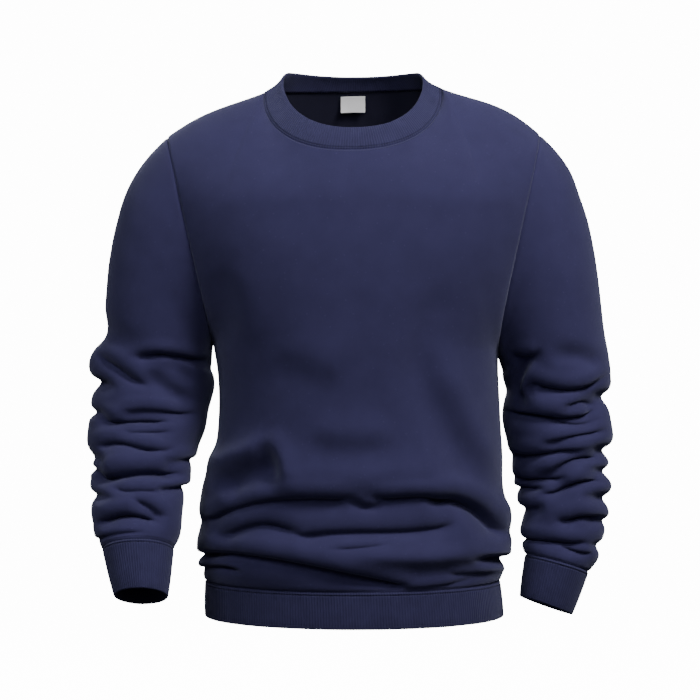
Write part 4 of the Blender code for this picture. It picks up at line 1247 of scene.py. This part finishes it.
def sleeve_piece(name, tube, cuff, materials):
    """Makes a sleeve, drawn in along all its seams. Gives the piece and its new points."""
    points, normals, hole_in = tube
    seams = [(points[:1].copy(), hole_in),
             (points[-1:].copy(), cloth_inward(points[-1], normals[-1], cuff)),
             (points[:, ARMHOLE_STEPS, None].copy(), -SLEEVE_SEAM * normals[:, ARMHOLE_STEPS, None])]
    points, through = rolled(points, normals, seams)
    girth = distance(points, np.roll(points, 1, axis=1)).sum(axis=1)
    turns, v = np.meshgrid(np.append(TURNS, 360), run_along(points).mean(axis=1))
    u = (turns - 180) / 360 * girth[:, None]
    return cloth_piece(name, points, points + through, u, v, True, materials), points


def build_garment(navy, inside, rib, thread):
    """Makes all pieces of cloth, rib and thread, and gives them with the panels' grids."""
    neck, waist = neck_band(), waist_band()
    panels = body_panels()
    sleeves = {side: sleeve_tube(side, panels) for side in (-1, 1)}
    pieces = {}
    for face, name in ((-1, "front_body"), (1, "back_body")):
        pieces[name] = body_piece(name, face, panels, sleeves, neck, waist, [navy, inside])

    cuff_lines = []
    for side, word in ((-1, "right"), (1, "left")):
        cuff = cuff_band(side)
        points, normals = sleeves[side][:2]
        inward = band_inward(points[-1], normals[-1], cuff)
        name = word + "_sleeve"
        pieces[name], points = sleeve_piece(name, sleeves[side], cuff, [navy, inside])
        normals = side * grid_normals(points, closed=True)
        name = word + "_cuff"
        pieces[name], cuff = rib_band(name, cuff, inward, BODY_EDGE, FINE_WALE, rib)
        cuff_lines += [band_line(cuff, BODY_EDGE), line_beside(points[::-1], normals[::-1])]

    lines = {}
    for word, band, edge, samples, columns, way in (
            ("neck", neck, NECK_EDGE, FINE_WALE, IN_NECK, -1),
            ("waist", waist, BODY_EDGE, COARSE_WALE, slice(None), 1)):
        sewn = [[values[::way, columns] for values in panels[face]] for face in (-1, 1)]
        points, normals = (np.concatenate([values[0] for values in both]) for both in zip(*sewn))
        name = word + "_rib"
        pieces[name], band = rib_band(name, band, band_inward(points, normals, band), edge, samples, rib)
        cloth = round_both(*(line_beside(*grid) for grid in sewn))
        lines[word + "_stitches"] = [band_line(band, edge), cloth]
    lines["cuff_stitches"] = cuff_lines
    for name, rows in lines.items():
        pieces[name] = stitches(name, rows, thread)
    return pieces, panels


# Label: half its width, its upper and lower edge, the gap behind it, its thickness, how far its
# lower edge stands away, and how it curls further at its two sides
LABEL_HALF = 15.3
LABEL_TOP = 5.4
LABEL_BOTTOM = -13.6
LABEL_STAND = 0.5
LABEL_WALL = 0.5
LABEL_LIFT = 3.0
LABEL_CURL = 1.6
LABEL_WAVE = 2.2
LABEL_COLUMNS = 48
LABEL_ROWS = 36

# Rows and columns of the back that are looked at round each point of the label
ROWS_NEAR = 6
COLUMNS_NEAR = 12


def build_label(panel, material):
    """Blank tape sewn in under the neck seam at the back, its lower edge standing a little free."""
    middle = len(SHARES) // 2
    columns = range(middle - COLUMNS_NEAR, middle + COLUMNS_NEAR + 1)
    across = np.linspace(-LABEL_HALF, LABEL_HALF, LABEL_COLUMNS + 1)
    heights = np.linspace(LABEL_BOTTOM, LABEL_TOP, LABEL_ROWS + 1)
    wave = LABEL_CURL * (1 - 0.5 * np.cos(across / LABEL_HALF * LABEL_WAVE))
    back, front = [], []
    for z in heights:
        at = panel[0][:, middle, 2]
        row = int(np.argmin(np.abs(at - z)))
        rows = slice(max(row - ROWS_NEAR, 0), row + ROWS_NEAR + 1)
        line, facing = (np.array([on_line(z, at[rows], values[rows, c]) for c in columns])
                        for values in panel)
        out = unit(on_line(across, line[:, 0], facing))
        low = (LABEL_TOP - z) / (LABEL_TOP - LABEL_BOTTOM)
        depth = JERSEY_WALL + LABEL_STAND + LABEL_LIFT * low + wave * low ** 2
        back.append(on_line(across, line[:, 0], line) - out * depth[:, None])
        front.append(back[-1] - out * LABEL_WALL)
    u, v = np.meshgrid(across, heights)
    return cloth_piece("blank_label", np.array(back), np.array(front), u, v, False, [material])


# Studio, in metres: the radius of the white room and its floor's height, what the lamps are aimed
# at, and each lamp's place, size, power and colour
ROOM_RADIUS = 7
FLOOR_Z = -1.1
AIM = (0, 0, -0.3)
WARM = (1, 0.98, 0.96)
COOL = (0.96, 0.975, 1)
PLAIN = (1, 1, 1)
LAMPS = {
    "key": ((1.4, -1.4, 1.85), 0.9, 71, WARM),
    "left": ((-1.7, -1.1, 1.6), 0.9, 16.5, COOL),
    "front": ((0.2, -2.7, 1.3), 1.2, 20.5, COOL),
    "top": ((0.2, 0.1, 2.2), 1.2, 4, PLAIN),
    "rear": ((-0.6, 2.4, 0.8), 1.6, 36, PLAIN),
}


def area_light(name, place, size, power, colour):
    light = bpy.data.lights.new(name, "AREA")
    light.shape = "DISK"
    light.size = size
    light.energy = power
    light.color = colour
    lamp = bpy.data.objects.new(name, light)
    lamp.location = place
    lamp.rotation_euler = (Vector(AIM) - Vector(place)).to_track_quat("-Z", "Y").to_euler()
    bpy.context.scene.collection.objects.link(lamp)


def white_room():
    """Glowing paper round the whole garment, with a flat floor."""
    ball = bmesh.new()
    bmesh.ops.create_uvsphere(ball, u_segments=64, v_segments=32, radius=ROOM_RADIUS)
    for vert in ball.verts:
        vert.co.z = max(vert.co.z, FLOOR_Z)
    paper = Graph("white_paper", Roughness=0.95, Emission_Strength=14.0, Emission_Color=(1, 1, 1, 1))
    tone = paper.blend(paper.noise(6.0, 2.0), (0.80, 0.80, 0.81, 1), (0.84, 0.84, 0.84, 1))
    paper.link("Base Color", tone)
    mesh = bpy.data.meshes.new("white_room")
    ball.to_mesh(mesh)
    ball.free()
    mesh.materials.append(paper.material)
    mesh.flip_normals()
    room = bpy.data.objects.new("white_room", mesh)
    room.visible_diffuse = False
    room.visible_glossy = False
    room.visible_shadow = False
    bpy.context.scene.collection.objects.link(room)


def build_studio():
    scene = bpy.context.scene
    camera = bpy.data.objects.new("camera", bpy.data.cameras.new("camera"))
    camera.location = (VIEW_X * MM, VIEW_Y * MM, VIEW_Z * MM)
    camera.rotation_euler = (math.pi / 2, 0, 0)
    camera.data.sensor_width = 36
    camera.data.lens = 18 / math.tan(math.radians(HALF_VIEW))
    scene.collection.objects.link(camera)
    scene.camera = camera

    world = bpy.data.worlds.new("studio")
    world.use_nodes = True
    world.node_tree.nodes["Background"].inputs["Color"].default_value = (0.95, 0.97, 1, 1)
    world.node_tree.nodes["Background"].inputs["Strength"].default_value = 0.07
    scene.world = world

    white_room()
    for name, lamp in LAMPS.items():
        area_light(name, *lamp)


# The part that each piece replaces and its slot, and what it measures laid flat, in metres: width,
# length and, where it isn't a rectangle, area. Then how it is held, and the stitches that it bears.
Cut = namedtuple("Cut", "part slot width length area held stitched")
CUTS = {
    "front_body": Cut("front_panel", "fleece", 0.515, 0.664, 0.277, "gathered", ()),
    "back_body": Cut("back_panel", "fleece", 0.488, 0.655, 0.280, "gathered", ()),
    "right_sleeve": Cut("sleeve_right", "fleece", 0.43, 0.561, 0.173, "gathered", ()),
    "left_sleeve": Cut("sleeve_left", "fleece", 0.43, 0.579, 0.169, "gathered", ()),
    "neck_rib": Cut("neckband", "rib", 0.61, 0.031, None, "stretched", ("neck_stitches",)),
    "waist_rib": Cut("waistband", "rib", 0.935, 0.042, None, "stretched", ("waist_stitches",)),
    "right_cuff": Cut("cuff_right", "rib", 0.215, 0.059, None, "stretched", ("cuff_stitches",)),
    "left_cuff": Cut("cuff_left", "rib", 0.218, 0.052, None, "stretched", ()),
    "blank_label": Cut("neck_label", "label", 0.0306, 0.0195, None, "hung", ()),
}


def main():
    build_studio()
    navy = jersey("brushed_jersey", (0.022, 0.0205, 0.066, 1), (0.050, 0.0455, 0.138, 1))
    # Inner face: the same jersey with a coarser, fuzzier nap, its colour made about three times darker
    # as painted shade inside the garment.
    inside = jersey("jersey_inside_painted_shade", (0.006, 0.0057, 0.0175, 1), (0.016, 0.0148, 0.042, 1), 1.6, 0.9)
    rib = rib_knit("navy_rib", (0.015, 0.0145, 0.046, 1), (0.050, 0.047, 0.138, 1))
    tape = label_tape("white_tape")
    thread = twisted_thread("navy_thread", (0.011, 0.0105, 0.034, 1), (0.030, 0.028, 0.085, 1))
    pieces, panels = build_garment(navy, inside, rib, thread)
    pieces["blank_label"] = build_label(panels[1], tape)
    for name, piece in pieces.items():
        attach(piece, "root")
        CUTS[name].slot if name in CUTS else "rib"
    for name, cut in CUTS.items():
        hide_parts(cut.part)
        [pieces[line] for line in cut.stitched]


main()
